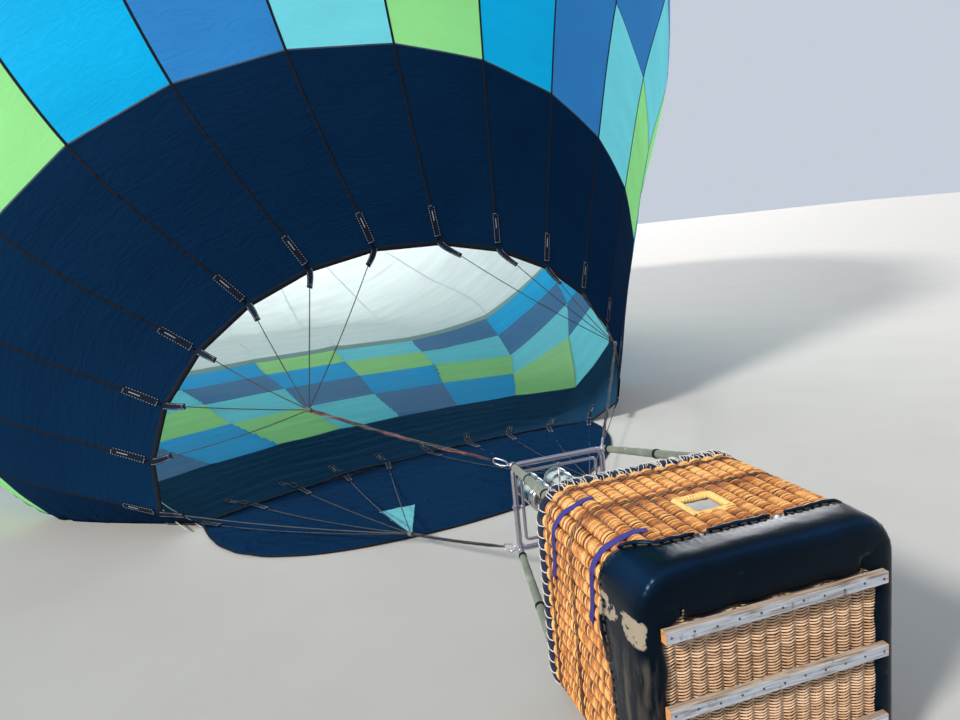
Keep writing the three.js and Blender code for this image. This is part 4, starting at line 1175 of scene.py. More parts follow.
hide_line, hide_outs, hide_run = round_outline(0.0, HIDE["stations"])
shape = Shape()
hide_edge = []
for (x, z), (nx, nz), s in zip(hide_line, hide_outs, hide_run):
    reach = HIDE["reach"] + (HIDE["on_top"] - HIDE["reach"]) * max(0.0, nz) ** 3
    on_left = max(0.0, -nx) ** 0.8 * min(1.0, max(0.0, z - BASKET_Z + 0.5))
    reach += (HIDE["on_left"] - HIDE["reach"]) * on_left
    longer = (reach - HIDE["turn_in"]) / (HIDE["reach"] - HIDE["turn_in"])
    cornered = abs(nx * nz) * 2
    scallop = 0.006 * math.sin(s / 0.17 * math.tau + 2 * uneven(s * 1.3, 0, 0)) + 0.005 * uneven(s * 9, 3, 0)
    near_top = max(max(0.0, nz) ** 0.8, 0.55 * min(1.0, max(0.0, (z - BASKET_Z - 0.325) / 0.05)))
    for j, (w, inset) in enumerate(HIDE_PROFILE):
        lump = uneven(s * 4.0, w * 9, 0) * 0.0028 + uneven(s * 13, w * 22, 5) * 0.0013
        at_w = w if w < HIDE["turn_in"] else HIDE["turn_in"] + (w - HIDE["turn_in"]) * longer
        if j < WAVY_EDGE:
            at_w += scallop * max(0, 1 - abs(w - HIDE["reach"]) / 0.05)
        if j < LIP_FIRST:
            pucker = cornered * 0.003 * math.sin(s / 0.024 * math.tau) * max(0, 1 - abs(w + 0.005) / 0.06)
            pull = 0.0022 * math.sin(s / HIDE["stitch"] * math.tau) * (j in STITCHED)
            deep = inset - (max(-0.004, lump + pucker + pull) if j > 0 else 0)
        else:
            at_w -= lump * 1.2
            further = HIDE["lip_on_top"] * near_top * (inset - LIP_IN) / (LIP_OUT - LIP_IN)
            deep = inset + further + (0.006 * math.sin(s / 0.21 * math.tau) if j >= LIP_LAST else 0)
            if near_top > 0.3 and j >= LIP_FLAT:
                at_w = max(at_w, -0.0205)
        shape.points.append((x - nx * deep, BASKET_Y + at_w, z - nz * deep))
    hide_edge.append(scallop + reach - HIDE["reach"])
shape.join_rows(0, HIDE["stations"], len(HIDE_PROFILE), ring=False, loop=True, flipped=True)

# Wear by place: scuffs and dust where a surface is rubbed
scuffing, given, result = effect(
    "scuffs", {"Vector": "NodeSocketVector", "Scale": "NodeSocketFloat", "Amount": "NodeSocketFloat"},
    {"Mask": "NodeSocketFloat"})
patches = lay(scuffing, "ShaderNodeTexNoise", inputs={
    "Vector": given["Vector"], "Scale": given["Scale"], "Detail": 5.0, "Roughness": 0.65}).outputs["Fac"]
threshold = reckon(scuffing, "SUBTRACT", 0.75, given["Amount"])
mask = fade(scuffing, patches, threshold, reckon(scuffing, "ADD", threshold, 0.12))
scuffing.links.new(mask, result["Mask"])


def scuffs(tree, where, scale, amount):
    return use(tree, scuffing, {"Vector": where, "Scale": scale, "Amount": amount})["Mask"]


def facing_up(tree):
    return parts_of(tree, lay(tree, "ShaderNodeNewGeometry").outputs["Normal"])[2]


HIDE_FINISH, tree = new_finish("black_hide")
where = position(tree)
axes = parts_of(tree, where)
rubbed = scuffs(tree, where, 7.0, 0.10)
soft_grey = clouds(tree, where, 3.0, 3.0)
base = blend(tree, soft_grey, (0.0008, 0.0018, 0.0035), (0.0015, 0.0055, 0.0125))
upward = facing_up(tree)
# painted reflection: faces that slope up get a blue tint, for the sky's sheen on the glossy hide
painted_sheen = reckon(tree, "MULTIPLY", fade(tree, upward, 0.15, 0.65), fade(tree, upward, 0.72, 0.95, 1.0, 0.0))
base = blend(tree, reckon(tree, "MULTIPLY", painted_sheen, soft_grey), base, (0.0035, 0.018, 0.052))
base = blend(tree, rubbed, base, (0.020, 0.022, 0.027))
# one patch low on the left corner where the surface has peeled down to the pale leather
low_down = reckon(tree, "MULTIPLY", fade(tree, axes[2], 1.00, 0.95), fade(tree, axes[2], 0.83, 0.89))
peeled = reckon(tree, "MULTIPLY", low_down, fade(tree, axes[0], -0.180, -0.212))
peeled = reckon(tree, "MULTIPLY", peeled, scuffs(tree, where, 8.0, 0.29))
base = blend(tree, fade(tree, peeled, 0.42, 0.58), base, (0.25, 0.21, 0.16))
# worn streaks below the patch, where the basket is dragged
worn = reckon(tree, "MULTIPLY", fade(tree, axes[2], 0.84, 0.78), fade(tree, axes[0], -0.13, -0.16))
streaks = lay(tree, "ShaderNodeMapping", inputs={"Vector": where, "Scale": (22.0, 22.0, 4.0)}).outputs[0]
worn = reckon(tree, "MULTIPLY", worn, fade(tree, clouds(tree, streaks, 1.0, 4.0), 0.46, 0.66))
base = blend(tree, worn, base, (0.046, 0.040, 0.033))
grain = lay(tree, "ShaderNodeTexVoronoi", {"feature": "DISTANCE_TO_EDGE"}, {
    "Vector": where, "Scale": 240.0}).outputs[0]
relief = reckon(tree, "MULTIPLY_ADD", grain, 0.25, clouds(tree, where, 22.0, 4.0))
solid_surface(tree, base, fade(tree, rubbed, 0.0, 1.0, 0.22, 0.48), {
    "Normal": relief_of(tree, relief, 0.5, 0.0022), "Specular IOR Level": 0.11,
    "Specular Tint": (0.35, 0.65, 1.0, 1)})

hide = new_piece("hide_wrap", shape, [HIDE_FINISH])
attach(hide, "balloon")
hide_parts("hide_roll")


def hide_point(i, w, proud):
    """A point of the hide's outer face near its edge, at one station."""
    (x, z), (nx, nz) = hide_line[i], hide_outs[i]
    return np.array((x + nx * proud, BASKET_Y + w + hide_edge[i], z + nz * proud))


shape = Shape()
for i in range(HIDE["stations"]):
    if i % 3 == 2:
        continue
    for w in HIDE["stitch_rows"]:
        start, stop = hide_point(i, w, 0.001), hide_point((i + 1) % HIDE["stations"], w, 0.001)
        middle = (start + stop) / 2 + np.array((hide_outs[i][0], 0, hide_outs[i][1])) * 0.0012
        tube(shape, [start, middle, stop], HIDE["stitch_radius"], 5)
HIDE_THREAD = weave_finish("hide_thread", (0.10, 0.075, 0.055), 0.002)
hide_stitches = new_piece("hide_stitches", shape, [HIDE_THREAD])
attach(hide_stitches, "balloon")

shape = Shape()
for first, last in EDGE_ROLLS:
    rolled, girth = [], []
    for i in range(HIDE["stations"]):
        if not first <= hide_run[i] <= last:
            continue
        share = (hide_run[i] - first) / (last - first)
        bend = 0.006 * math.sin(share * 9.0 + first) - 0.012 * (2 * share - 1) ** 6
        rolled.append(hide_point(i, HIDE["reach"] + 0.002 + bend, 0.002))
        girth.append(0.0105 * (1 - 0.55 * (2 * share - 1) ** 4) + 0.0012 * math.sin(share * 31.0))
    tube(shape, rolled, girth, 12)
rolls = new_piece("hide_edge_rolls", shape, [HIDE_FINISH])
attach(rolls, "balloon")

# Runners. Three weathered hardwood boards are screwed across the bottom, over the hide's edge, with
# a row of eleven steel screws each, and take the wear when the basket slides.
RUNNER = {"long": 1.030, "wide": 0.052, "low": -0.056, "high": -0.0223, "pitch": 0.325, "soft": 0.003}
SCREWS = {"count": 11, "from_end": 0.025, "sides": 12}
# radius and depth of a screw's recessed head, from its middle to its rim
SCREW_PROFILE = [(0.0, 0.0005), (0.0016, 0.0005), (0.0018, -0.0008), (0.0046, -0.0012), (0.0052, 0.0006)]


def soft_box(shape, middle, size, soft, cuts=0):
    """Adds a box with rounded edges. cuts: how often its long edges are cut across."""
    low, high = (Vector([middle[i] + end * size[i] for i in range(3)]) for end in (-0.5, 0.5))
    box = bmesh.new()
    bmesh.ops.create_cube(box, size=1)
    for vertex in box.verts:
        vertex.co = Vector([low[i] + (vertex.co[i] + 0.5) * (high[i] - low[i]) for i in range(3)])
    bmesh.ops.bevel(box, geom=box.edges[:], offset=soft, segments=3, profile=0.6, affect="EDGES")
    if cuts:
        long_edges = [edge for edge in box.edges if edge.calc_length() > Vector(size).length * 0.8]
        bmesh.ops.subdivide_edges(box, edges=long_edges, cuts=cuts)
    box.verts.index_update()
    start = len(shape.points)
    shape.points.extend(tuple(vertex.co) for vertex in box.verts)
    shape.faces.extend(tuple(start + vertex.index for vertex in face.verts) for face in box.faces)
    box.free()


def beside_axis(centre, radius, rise, turn):
    """A point beside an axis along the basket: how far from it, how far along it, and how far round."""
    return (centre[0] + radius * math.cos(turn), centre[1] + rise, centre[2] + radius * math.sin(turn))


def turn_profile(shape, profile, centre, sides, flipped=True):
    """Adds a shape turned round an axis along the basket from its radii and places along it."""
    start = len(shape.points)
    for radius, rise in profile:
        shape.points.extend(beside_axis(centre, radius, rise, k / sides * math.tau) for k in range(sides))
    shape.join_rows(start, len(profile), sides, flipped=flipped)


WOOD, tree = new_finish("weathered_wood")
where = position(tree)
along_grain = lay(tree, "ShaderNodeMapping", inputs={"Vector": where, "Scale": (2.5, 40.0, 40.0)}).outputs[0]
grain = clouds(tree, along_grain, 2.2, 6.0, 0.8)
# weathered grey wood, painted bluer as in shade
base = tones_of(tree, grain, [
    (0.32, (0.16, 0.125, 0.10)), (0.50, (0.32, 0.345, 0.39)), (0.72, (0.44, 0.49, 0.58))])
# painted light: faces turned up are tinted warm, as lit by the low sun
base = blend(tree, fade(tree, facing_up(tree), 0.35, 0.8), base, (1.0, 0.74, 0.52), "MULTIPLY")
from_middle = reckon(tree, "ABSOLUTE", reckon(tree, "SUBTRACT", parts_of(tree, where)[0], BASKET_X))
base = blend(tree, fade(tree, from_middle, 0.508, 0.5135), base, (0.48, 0.22, 0.075))
base = blend(tree, scuffs(tree, where, 16.0, 0.16), base, (0.13, 0.10, 0.075))
solid_surface(tree, base, 0.72, {"Normal": relief_of(tree, grain, 0.5, 0.0015)})

SCREW_STEEL, tree = new_finish("screw_steel")
rust = scuffs(tree, position(tree), 60.0, 0.22)
solid_surface(tree, blend(tree, rust, (0.055, 0.052, 0.050), (0.14, 0.06, 0.03)), 0.5, {"Metallic": 0.7})

for number in range(3):
    z = BASKET_Z + (1 - number) * RUNNER["pitch"]
    low = BASKET_Y + RUNNER["low"]
    shape = Shape()
    soft_box(shape, (BASKET_X, BASKET_Y + (RUNNER["low"] + RUNNER["high"]) / 2, z),
             (RUNNER["long"], RUNNER["high"] - RUNNER["low"], RUNNER["wide"]), RUNNER["soft"], 48)
    for i, (x, y, pz) in enumerate(shape.points):
        chip = uneven(x * 18, y * 60, pz * 60) * 0.0012 + uneven(x * 3, number, pz * 8) * 0.0016
        shape.points[i] = (x, max(y + (chip if y < BASKET_Y - 0.04 else 0), low), pz + chip)
    shape.paint(0)
    for screw in range(SCREWS["count"]):
        share = screw / (SCREWS["count"] - 1) - 0.5
        x = BASKET_X + share * (RUNNER["long"] - 2 * SCREWS["from_end"])
        at = (x, low, z + 0.003 * math.sin(screw * 2.3))
        turn_profile(shape, SCREW_PROFILE, at, SCREWS["sides"], flipped=False)
    shape.paint(1)
    board = new_piece(f"runner_board_{number + 1}", shape, [WOOD, SCREW_STEEL], smooth=False)
    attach(board, "balloon")
    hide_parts(f"runner_{number + 1}")

# Rim. Foam padding under navy suede runs round the top of the walls, laced down with pale cord whose
# ends have frayed.
RIM = {"low": 0.966, "high": 1.050, "thick": 0.086, "stations": 280, "round": 14, "square": 0.75}
LACE = {"pitch": 0.062, "radius": 0.0028, "from": -150, "steps": 16, "fray": 0.0016}
NET = {"strands": 5, "radius": 0.0016, "first": 0.02, "last": 1.05}
rim_middle = (RIM["low"] + RIM["high"]) / 2
rim_line, rim_outs, rim_run = round_outline(RIM["thick"] / 2, RIM["stations"])


def squared(value, power):
    """A sine or cosine bent so that a circle comes out more square."""
    return abs(value) ** power * (1 if value > 0 else -1)


def rim_point(i, turn, swell=0.0):
    """A point on the rim: at which station, how far round its section, how proud of it."""
    i %= RIM["stations"]
    (x, z), (nx, nz), s = rim_line[i], rim_outs[i], rim_run[i]
    pull = -0.0028 * (0.5 + 0.5 * math.cos(s / LACE["pitch"] * math.tau)) ** 3
    lump = 0.0016 * uneven(s * 9, turn * 1.3, 0) + 0.0008 * math.sin(turn * 9 + s * 40)
    grow = 0.985 * (1 + (pull + lump + swell) / 0.04)
    a = squared(math.cos(turn), RIM["square"]) * RIM["thick"] / 2 * grow
    b = squared(math.sin(turn), RIM["square"]) * (RIM["high"] - RIM["low"]) / 2 * grow
    return np.array((x + nx * a, BASKET_Y + rim_middle + b, max(z + nz * a, 0.002)))


shape = Shape()
for i in range(RIM["stations"]):
    for j in range(RIM["round"]):
        shape.points.append(rim_point(i, j / RIM["round"] * math.tau))
shape.join_rows(0, RIM["stations"], RIM["round"], loop=True, flipped=True)

SUEDE, tree = new_finish("navy_suede")
where = position(tree)
base = blend(tree, clouds(tree, where, 28.0, 6.0), (0.004, 0.007, 0.018), (0.014, 0.022, 0.050))
base = blend(tree, scuffs(tree, where, 11.0, 0.18), base, (0.045, 0.052, 0.075))
pile = clouds(tree, where, 600.0, 2.0)
solid_surface(tree, base, 0.9, {
    "Normal": relief_of(tree, pile, 0.6, 0.001), "Specular IOR Level": 0.1, "Sheen Weight": 0.08})

rim = new_piece("rim_padding", shape, [SUEDE])
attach(rim, "balloon")
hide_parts("rim_pad")

LACING = wire_finish("pale_lacing", (0.74, 0.72, 0.68), 0.0, 0.010)
shape = Shape()
for i in range(RIM["stations"]):
    if rim_run[i] % LACE["pitch"] > rim_run[1]:
        continue
    loop = []
    for step in range(LACE["steps"] + 1):
        turn = math.radians(LACE["from"] * (1 - 2 * step / LACE["steps"]))
        loop.append(rim_point(i + (1 if step > LACE["steps"] / 2 else 0), turn, 0.0026))
    tube(shape, loop, LACE["radius"], 6)
    tail = [rim_point(i, math.radians(LACE["from"]), 0.003)]
    for step in range(5):
        tail.append(tail[-1] + np.array((draw.uniform(-0.012, 0.012), -0.010, draw.uniform(-0.004, 0.006))))
    tube(shape, tail, LACE["fray"], 5)
for strand in range(NET["strands"]):
    path = []
    for i, s in enumerate(rim_run):
        if NET["first"] <= s <= NET["last"]:
            turn = 1.25 * math.sin(s * (38 + 7 * strand) + strand * 1.7)
            turn += 0.5 * uneven(s * 9, strand * 3.0, 1.0)
            proud = 0.0024 + 0.0012 * abs(math.sin(s * 25 + strand))
            path.append(rim_point(i, math.radians(-20) + turn, proud))
    tube(shape, path, NET["radius"], 5)
lacing = new_piece("rim_lacing", shape, [LACING])
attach(lacing, "balloon")

# Cylinder straps. Two bare webbing straps come out of slots in the upper wall, lie round the left
# corner and go back in through the left wall, where they hold the fuel cylinders.
STRAP = {"half": 0.019, "proud": 0.0017, "off_wall": 0.0200, "upper_steps": 12, "left_steps": 14}
# places along the basket at its two ends, where it comes out of the upper wall, where it goes into the left
STRAPS = [(0.735, 0.885, -0.385, 0.285), (0.300, 0.470, -0.335, 0.300)]
SLOT_BINDING = {"half_u": 0.0065, "half_w": 0.026, "proud": 0.0125, "twist": 0.004, "cane": 0.0030}
STRAP_WEB = weave_finish("purple_webbing", (0.045, 0.040, 0.205), 0.0035, roughness=0.6)
_, left_quarter, flat_left, away_left, _ = WALLS[3]
all_steps = STRAP["upper_steps"] + STRAP["left_steps"]
sky_half, left_half = flat_sky + BEND * math.pi / 4, flat_left + BEND * math.pi / 4
shape = Shape()
for w, end_w, out_u, in_z in STRAPS:
    path, outs = [], []
    for step in range(all_steps + 1):
        at_w = w + (end_w - w) * (step / all_steps) ** 1.4 + 0.012 * math.sin(step * 0.5)
        to_end = min(step, all_steps - step)
        lift = STRAP["off_wall"] if to_end > 1 else -0.004 + 0.012 * to_end
        if step <= STRAP["upper_steps"]:
            u = out_u + (-sky_half - out_u) * step / STRAP["upper_steps"]
            place, normal = on_wall(0, flat_sky, away_sky, u, at_w, lift)
        else:
            onward = (step - STRAP["upper_steps"]) / STRAP["left_steps"]
            u = left_half - (left_half - (flat_left - in_z)) * onward
            place, normal = on_wall(left_quarter, flat_left, away_left, u, at_w, lift)
        path.append(place)
        outs.append(normal)
    ribbon(shape, path, outs, STRAP["half"], STRAP["proud"])
straps = new_piece("cylinder_straps", shape, [STRAP_WEB], smooth=False)
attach(straps, "balloon")

runs = []
for w, _, out_u, _ in STRAPS:
    loop_u = out_u + SLOT_BINDING["half_u"] * np.array([1, 1.3, 1, 0, -1, -1.3, -1, 0, 1])
    loop_w = w + SLOT_BINDING["half_w"] * np.array([-0.85, 0, 0.85, 1, 0.85, 0, -0.85, -1, -0.85])
    path, outs = on_wall(0, flat_sky, away_sky, loop_u, loop_w, SLOT_BINDING["proud"])
    sides = np.cross(np.gradient(path, axis=0), outs)
    sides /= np.linalg.norm(sides, axis=1)[:, None]
    for strand in range(3):
        turn = (strand / 3 * math.tau + np.arange(len(path)) * 1.9)[:, None]
        wound = path + (outs * np.cos(turn) + sides * np.sin(turn)) * SLOT_BINDING["twist"]
        tones = np.full(len(path), 0.25 + 0.05 * strand)
        runs.append((wound, outs, sides, SLOT_BINDING["cane"], SLOT_BINDING["cane"], tones))
slot_binding = woven_piece("strap_slot_binding", runs, CANE_YELLOW)
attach(slot_binding, "balloon")

# Fuel cylinders. Two stainless steel cylinders stand in the left corners of the basket, each with a
# weld round its middle, a guard collar with hand slots, and a valve in the collar.
TANK = {"radius": 0.140, "long": 0.860, "collar": 0.095, "gap": 0.004, "sides": 48}
FLOOR_THICK = 0.034
# from the basket's outline to its wall, the wall's thickness, and the clearance between solids
WALL_IN, WALL_THICK, CLEAR = 0.0143, 0.030, 0.0003
TANK_INSET = WALL_IN + WALL_THICK + CLEAR + TANK["radius"] + TANK["gap"]
# first and last of the collar's sides that each hand slot takes up, and the edges of the slots
HAND_SLOTS, SLOT_EDGES, SLOT_ROLL = [(4, 12), (20, 28), (36, 44)], (0.012, 0.044), 0.0052


def metal_finish(name, colour, roughness, streak=30.0, grime=0.12):
    """Bare or plated metal with fine streaks, smears and some grime."""
    made, tree = new_finish(name)
    where = position(tree)
    smear = clouds(tree, where, streak, 5.0)
    tone = blend(tree, smear, shaded(colour, 0.82), colour)
    base = blend(tree, scuffs(tree, where, 13.0, grime), tone, shaded(colour, 0.35))
    solid_surface(tree, base, fade(tree, smear, 0.0, 1.0, roughness * 0.75, roughness * 1.3), {
        "Metallic": 1.0, "Normal": relief_of(tree, smear, 0.15, 0.001)})
    return made


TANK_STEEL = metal_finish("cylinder_steel", (0.62, 0.63, 0.64), 0.34)
BRASS = metal_finish("valve_brass", (0.62, 0.42, 0.16), 0.30)
BLACK_GRIP, tree = new_finish("black_grip")
ribs = clouds(tree, position(tree), 90.0, 3.0)
solid_surface(tree, blend(tree, ribs, (0.010, 0.010, 0.011), (0.035, 0.035, 0.038)), 0.6)

long, radius, collar = TANK["long"], TANK["radius"], TANK["collar"]
# radius and place along the cylinder: base, weld, shoulder and neck; collar; valve; hand wheel
TANK_PROFILE = [
    (0.0, 0.0), (radius - 0.030, 0.0), (radius - 0.012, 0.006), (radius - 0.003, 0.018), (radius, 0.032),
    (radius, long * 0.49), (radius + 0.0018, long * 0.493), (radius + 0.0018, long * 0.507),
    (radius, long * 0.51), (radius, long - 0.085), (radius - 0.003, long - 0.066),
    (radius - 0.012, long - 0.046), (radius * 0.80, long - 0.024), (radius * 0.60, long - 0.008),
    (0.030, long - 0.002), (0.030, long + 0.006), (0.0, long + 0.006),
]
COLLAR_PROFILE = [
    (collar - 0.003, long - 0.022), (collar, long - 0.020), (collar, long + 0.056),
    (collar - 0.002, long + 0.060), (collar - 0.007, long + 0.058), (collar - 0.007, long - 0.010),
]
VALVE_PROFILE = [
    (0.0, long + 0.004), (0.024, long + 0.004), (0.024, long + 0.016), (0.013, long + 0.018),
    (0.013, long + 0.034), (0.0, long + 0.034),
]
WHEEL_PROFILE = [
    (0.0, long + 0.032), (0.019, long + 0.033), (0.021, long + 0.036), (0.021, long + 0.043),
    (0.018, long + 0.045), (0.0, long + 0.045),
]
for node, side in [("fuel_cylinder_upper", 1), ("fuel_cylinder_lower", -1)]:
    centre = (BASKET_X - BASKET_WIDE / 2 + TANK_INSET, BASKET_Y + FLOOR_THICK + CLEAR,
              BASKET_Z + side * (BASKET_TALL / 2 - TANK_INSET))
    shape = Shape()
    turn_profile(shape, TANK_PROFILE, centre, TANK["sides"])
    start = len(shape.faces)
    turn_profile(shape, COLLAR_PROFILE, centre, TANK["sides"])
    open_faces = {start + row * TANK["sides"] + k
                  for row in (1, 4) for first, last in HAND_SLOTS for k in range(first, last)}
    shape.faces = [face for number, face in enumerate(shape.faces) if number not in open_faces]
    for first, last in HAND_SLOTS:
        for rise in SLOT_EDGES:
            run = [beside_axis(centre, collar - 0.0035, long + rise, k / TANK["sides"] * math.tau)
                   for k in range(first, last + 1)]
            tube(shape, run, SLOT_ROLL, 8)
    shape.paint(0)
    turn_profile(shape, VALVE_PROFILE, centre, 24)
    outlet = np.add(centre, (0, long + 0.026, 0))
    tube(shape, [outlet, outlet + (0.038, 0, 0.018)], 0.009, 16)
    shape.paint(1)
    turn_profile(shape, WHEEL_PROFILE, centre, 20)
    shape.paint(2)
    cylinder = new_piece(node + "_shell", shape, [TANK_STEEL, BRASS, BLACK_GRIP])
    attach(cylinder, "balloon")
    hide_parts(node)

# Uprights. Four flexible rods in padded grey-green cloth sleeves hold the burner frame over the rim;
# each sleeve closes with a long flap and is gathered at both ends.
RIM_IN = 0.45 * BASKET_CORNER
FOOT = {"x": BASKET_WIDE / 2 - RIM_IN, "z": BASKET_TALL / 2 - RIM_IN, "up": BASKET_LONG + CLEAR}
PADDING = {"foot": 0.0335, "head": 0.0245, "stations": 64, "round": 24, "gathered": 0.16,
           "gather_long": 0.035, "flap": 0.0022, "flap_edge": 0.86, "inside": 0.0028}
BINDING = {"at": (0.045, 0.5, 0.955), "half": 0.011, "proud": 0.0016, "steps": 24}
CORNERS = [(-1, 1), (1, 1), (1, -1), (-1, -1)]
SOCKET_LONG = 0.034

SLEEVE_CLOTH, tree = new_finish("sleeve_canvas")
where = position(tree)
grid = use(tree, ripstop, {"Vector": where, "Spacing": 0.0022})["Lines"]
canvas_mottle = clouds(tree, where, 9.0, 5.0)
# the same noise makes the canvas darker and lowers its relief, so it is darker in its hollows
base = blend(tree, canvas_mottle, (0.055, 0.072, 0.052), (0.17, 0.20, 0.155))
base = blend(tree, scuffs(tree, where, 18.0, 0.14), base, (0.30, 0.30, 0.25))
relief = reckon(tree, "MULTIPLY_ADD", canvas_mottle, 3.0, grid)
solid_surface(tree, base, 0.9, {"Normal": relief_of(tree, relief, 0.6, 0.001), "Sheen Weight": 0.2})


def upright_foot(side_x, side_z):
    return np.array((BASKET_X + side_x * FOOT["x"], BASKET_Y + FOOT["up"], BASKET_Z + side_z * FOOT["z"]))


for number, (side_x, side_z) in enumerate(CORNERS):
    foot = upright_foot(side_x, side_z)
    head = frame_corner(side_x, side_z)
    way = unit(head - foot)
    long = np.linalg.norm(head - way * (SOCKET_LONG + CLEAR) - foot)
    side = unit(np.cross(way, (0, 0, 1)))
    over = np.cross(side, way)
    flap_turn = math.radians(200 if side_x < 0 else -20)
    shape = Shape()
    for i in range(PADDING["stations"]):
        t = i / (PADDING["stations"] - 1)
        thick = PADDING["foot"] + (PADDING["head"] - PADDING["foot"]) * t
        full = min(1, min(t, 1 - t) / PADDING["gather_long"])
        for j in range(PADDING["round"]):
            turn = j / PADDING["round"] * math.tau
            crease = 0.0015 * uneven(t * 26, turn * 1.2, number)
            crease += 0.0011 * uneven(t * 70, turn * 2.2, number + 5)
            flap = PADDING["flap"] if math.cos(turn - flap_turn) > PADDING["flap_edge"] else 0.0
            gathered = 1 - PADDING["gathered"] * (1 - full)
            radius = (thick - PADDING["inside"]) * gathered + crease * full + flap
            at = foot + way * long * t + (side * math.cos(turn) + over * math.sin(turn)) * radius
            if i == 0:
                at[1] = foot[1]
            shape.points.append(at)
    shape.join_rows(0, PADDING["stations"], PADDING["round"])
    shape.cap_ends(0, PADDING["stations"], PADDING["round"])
    sleeve = new_piece(f"upright_sleeve_{number + 1}", shape, [SLEEVE_CLOTH])
    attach(sleeve, "balloon")
    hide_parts(f"upright_{number + 1}")
    shape = Shape()
    turns = np.linspace(0, math.tau, BINDING["steps"] + 1)
    outs = np.array([side * math.cos(turn) + over * math.sin(turn) for turn in turns])
    for t in BINDING["at"]:
        radius = PADDING["foot"] + (PADDING["head"] - PADDING["foot"]) * t + 0.0002
        ribbon(shape, foot + way * long * t + outs * radius, outs, BINDING["half"], BINDING["proud"])
    binding = new_piece(f"sleeve_binding_{number + 1}", shape, [WEBBING], smooth=False)
    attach(binding, "balloon")

# Burner frame. A square of bent stainless tube with a welded socket for each upright, an eye plate
# for each carabiner, and a bearing block on each side for the gimbal's pins.
FRAME_TUBE, FRAME_BEND = 0.019, 0.055
SOCKET = {"places": (0.002, 0.030, SOCKET_LONG), "radii": (0.0225, 0.0240, 0.0232)}
GUSSET = {"reach": 0.32, "radius": 0.0165}
EYE = {"radius": 0.0105, "bar": 0.0042, "stem": (0.013, 0.0065)}
BEARING = {"size": (0.044, 0.030, 0.030), "soft": 0.003, "bolt_apart": 0.009}
STAINLESS = metal_finish("frame_stainless", (0.50, 0.47, 0.56), 0.32)
frame_y = BASKET_Y + FRAME_UP


def rounded_loop(half_x, half_z, bend, y, steps=8):
    """Points of a rounded rectangle across the basket at one height."""
    made = []
    for side_x, side_z, first in ((1, 1, 0), (-1, 1, 90), (-1, -1, 180), (1, -1, 270)):
        for step in range(steps + 1):
            angle = math.radians(first + 90 * step / steps)
            made.append((BASKET_X + side_x * (half_x - bend) + bend * math.cos(angle), y,
                         BASKET_Z + side_z * (half_z - bend) + bend * math.sin(angle)))
    return made


def bolt(shape, at, way, radius, high):
    """A hexagon head standing on a surface."""
    way = unit(way)
    tube(shape, [at, at + way * high * 0.8, at + way * high], [radius, radius, radius * 0.8], 6)


def at_frame(x, y, z):
    """A point given from the middle of the burner frame."""
    return np.array((BASKET_X + x, frame_y + y, BASKET_Z + z))


shape = Shape()
tube(shape, rounded_loop(FRAME_HALF_X, FRAME_HALF_Z, FRAME_BEND, frame_y), FRAME_TUBE, 20, closed=True)
for (side_x, side_z), (_, _, _, _, gather) in zip(CORNERS, WIRE_GROUPS):
    corner = frame_corner(side_x, side_z)
    down = unit(upright_foot(side_x, side_z) - corner)
    tube(shape, [corner + down * place for place in SOCKET["places"]], SOCKET["radii"], 20)
    inner = corner - np.array((side_x, 0, side_z)) * FRAME_BEND * GUSSET["reach"]
    tube(shape, [inner, corner], GUSSET["radius"], 16)
    pull = unit(np.array(gather) - corner)
    thin = np.cross(pull, unit(np.cross(pull, (1, 0, 0))))
    eye = corner + pull * (LUG - 0.003)
    turns = [k / 16 * math.tau for k in range(16)]
    ring = [eye + (pull * math.cos(turn) + thin * math.sin(turn)) * EYE["radius"] for turn in turns]
    tube(shape, ring, EYE["bar"], 8, closed=True)
    tube(shape, [corner, eye - pull * 0.010], EYE["stem"], 12)
for sign in (-1, 1):
    soft_box(shape, at_frame(sign * FRAME_HALF_X, 0, 0), BEARING["size"], BEARING["soft"])
    for step in (-1, 1):
        at = at_frame(sign * (FRAME_HALF_X + 0.022), step * BEARING["bolt_apart"], 0)
        bolt(shape, at, (sign, 0, 0), 0.0045, 0.004)
frame_piece = new_piece("burner_frame_tube", shape, [STAINLESS])
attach(frame_piece, "balloon")
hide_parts("burner_frame")

# Carabiners. One forged steel link at each corner joins the frame's eye plate to the bundle of
# wires. Its gate is closed by a ridged sleeve on a screw thread.
CLIP = {"bar": 0.0058, "half": 0.026, "steps": 40, "end": 0.0063}
GATE = {"places": (0.30, 0.32, 0.58, 0.60), "radii": (0.0066, 0.0092, 0.0092, 0.0066), "ridges": 6,
        "first_ridge": 0.34, "ridge_pitch": 0.044, "ridge_radius": 0.0098, "ridge_half": 0.0008}
near, far = LUG + CLIP["end"], LUG + CLIP_LONG - CLIP["end"]
for number, ((side_x, side_z), (_, _, _, _, gather)) in enumerate(zip(CORNERS, WIRE_GROUPS)):
    corner = frame_corner(side_x, side_z)
    pull = unit(np.array(gather) - corner)
    across = unit(np.cross(pull, (1, 0, 0))) * CLIP["half"]
    ring = []
    for step in range(CLIP["steps"]):
        c, s = math.cos(step / CLIP["steps"] * math.tau), math.sin(step / CLIP["steps"] * math.tau)
        place = (near + far) / 2 + (far - near) / 2 * squared(c, 0.75)
        ring.append(corner + pull * place + across * squared(s, 0.62) * (0.88 + 0.12 * c))
    shape = Shape()
    tube(shape, ring, CLIP["bar"], 12, closed=True)
    gate_line = corner + pull * near + across * 0.97
    tube(shape, [gate_line + pull * (far - near) * t for t in GATE["places"]], GATE["radii"], 16)
    for ridge in range(GATE["ridges"]):
        at = gate_line + pull * (far - near) * (GATE["first_ridge"] + ridge * GATE["ridge_pitch"])
        ends = [at - pull * GATE["ridge_half"], at + pull * GATE["ridge_half"]]
        tube(shape, ends, GATE["ridge_radius"], 16)
    clip = new_piece(f"carabiner_link_{number + 1}", shape, [STAINLESS])
    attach(clip, "balloon")
    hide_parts(f"carabiner_{number + 1}")

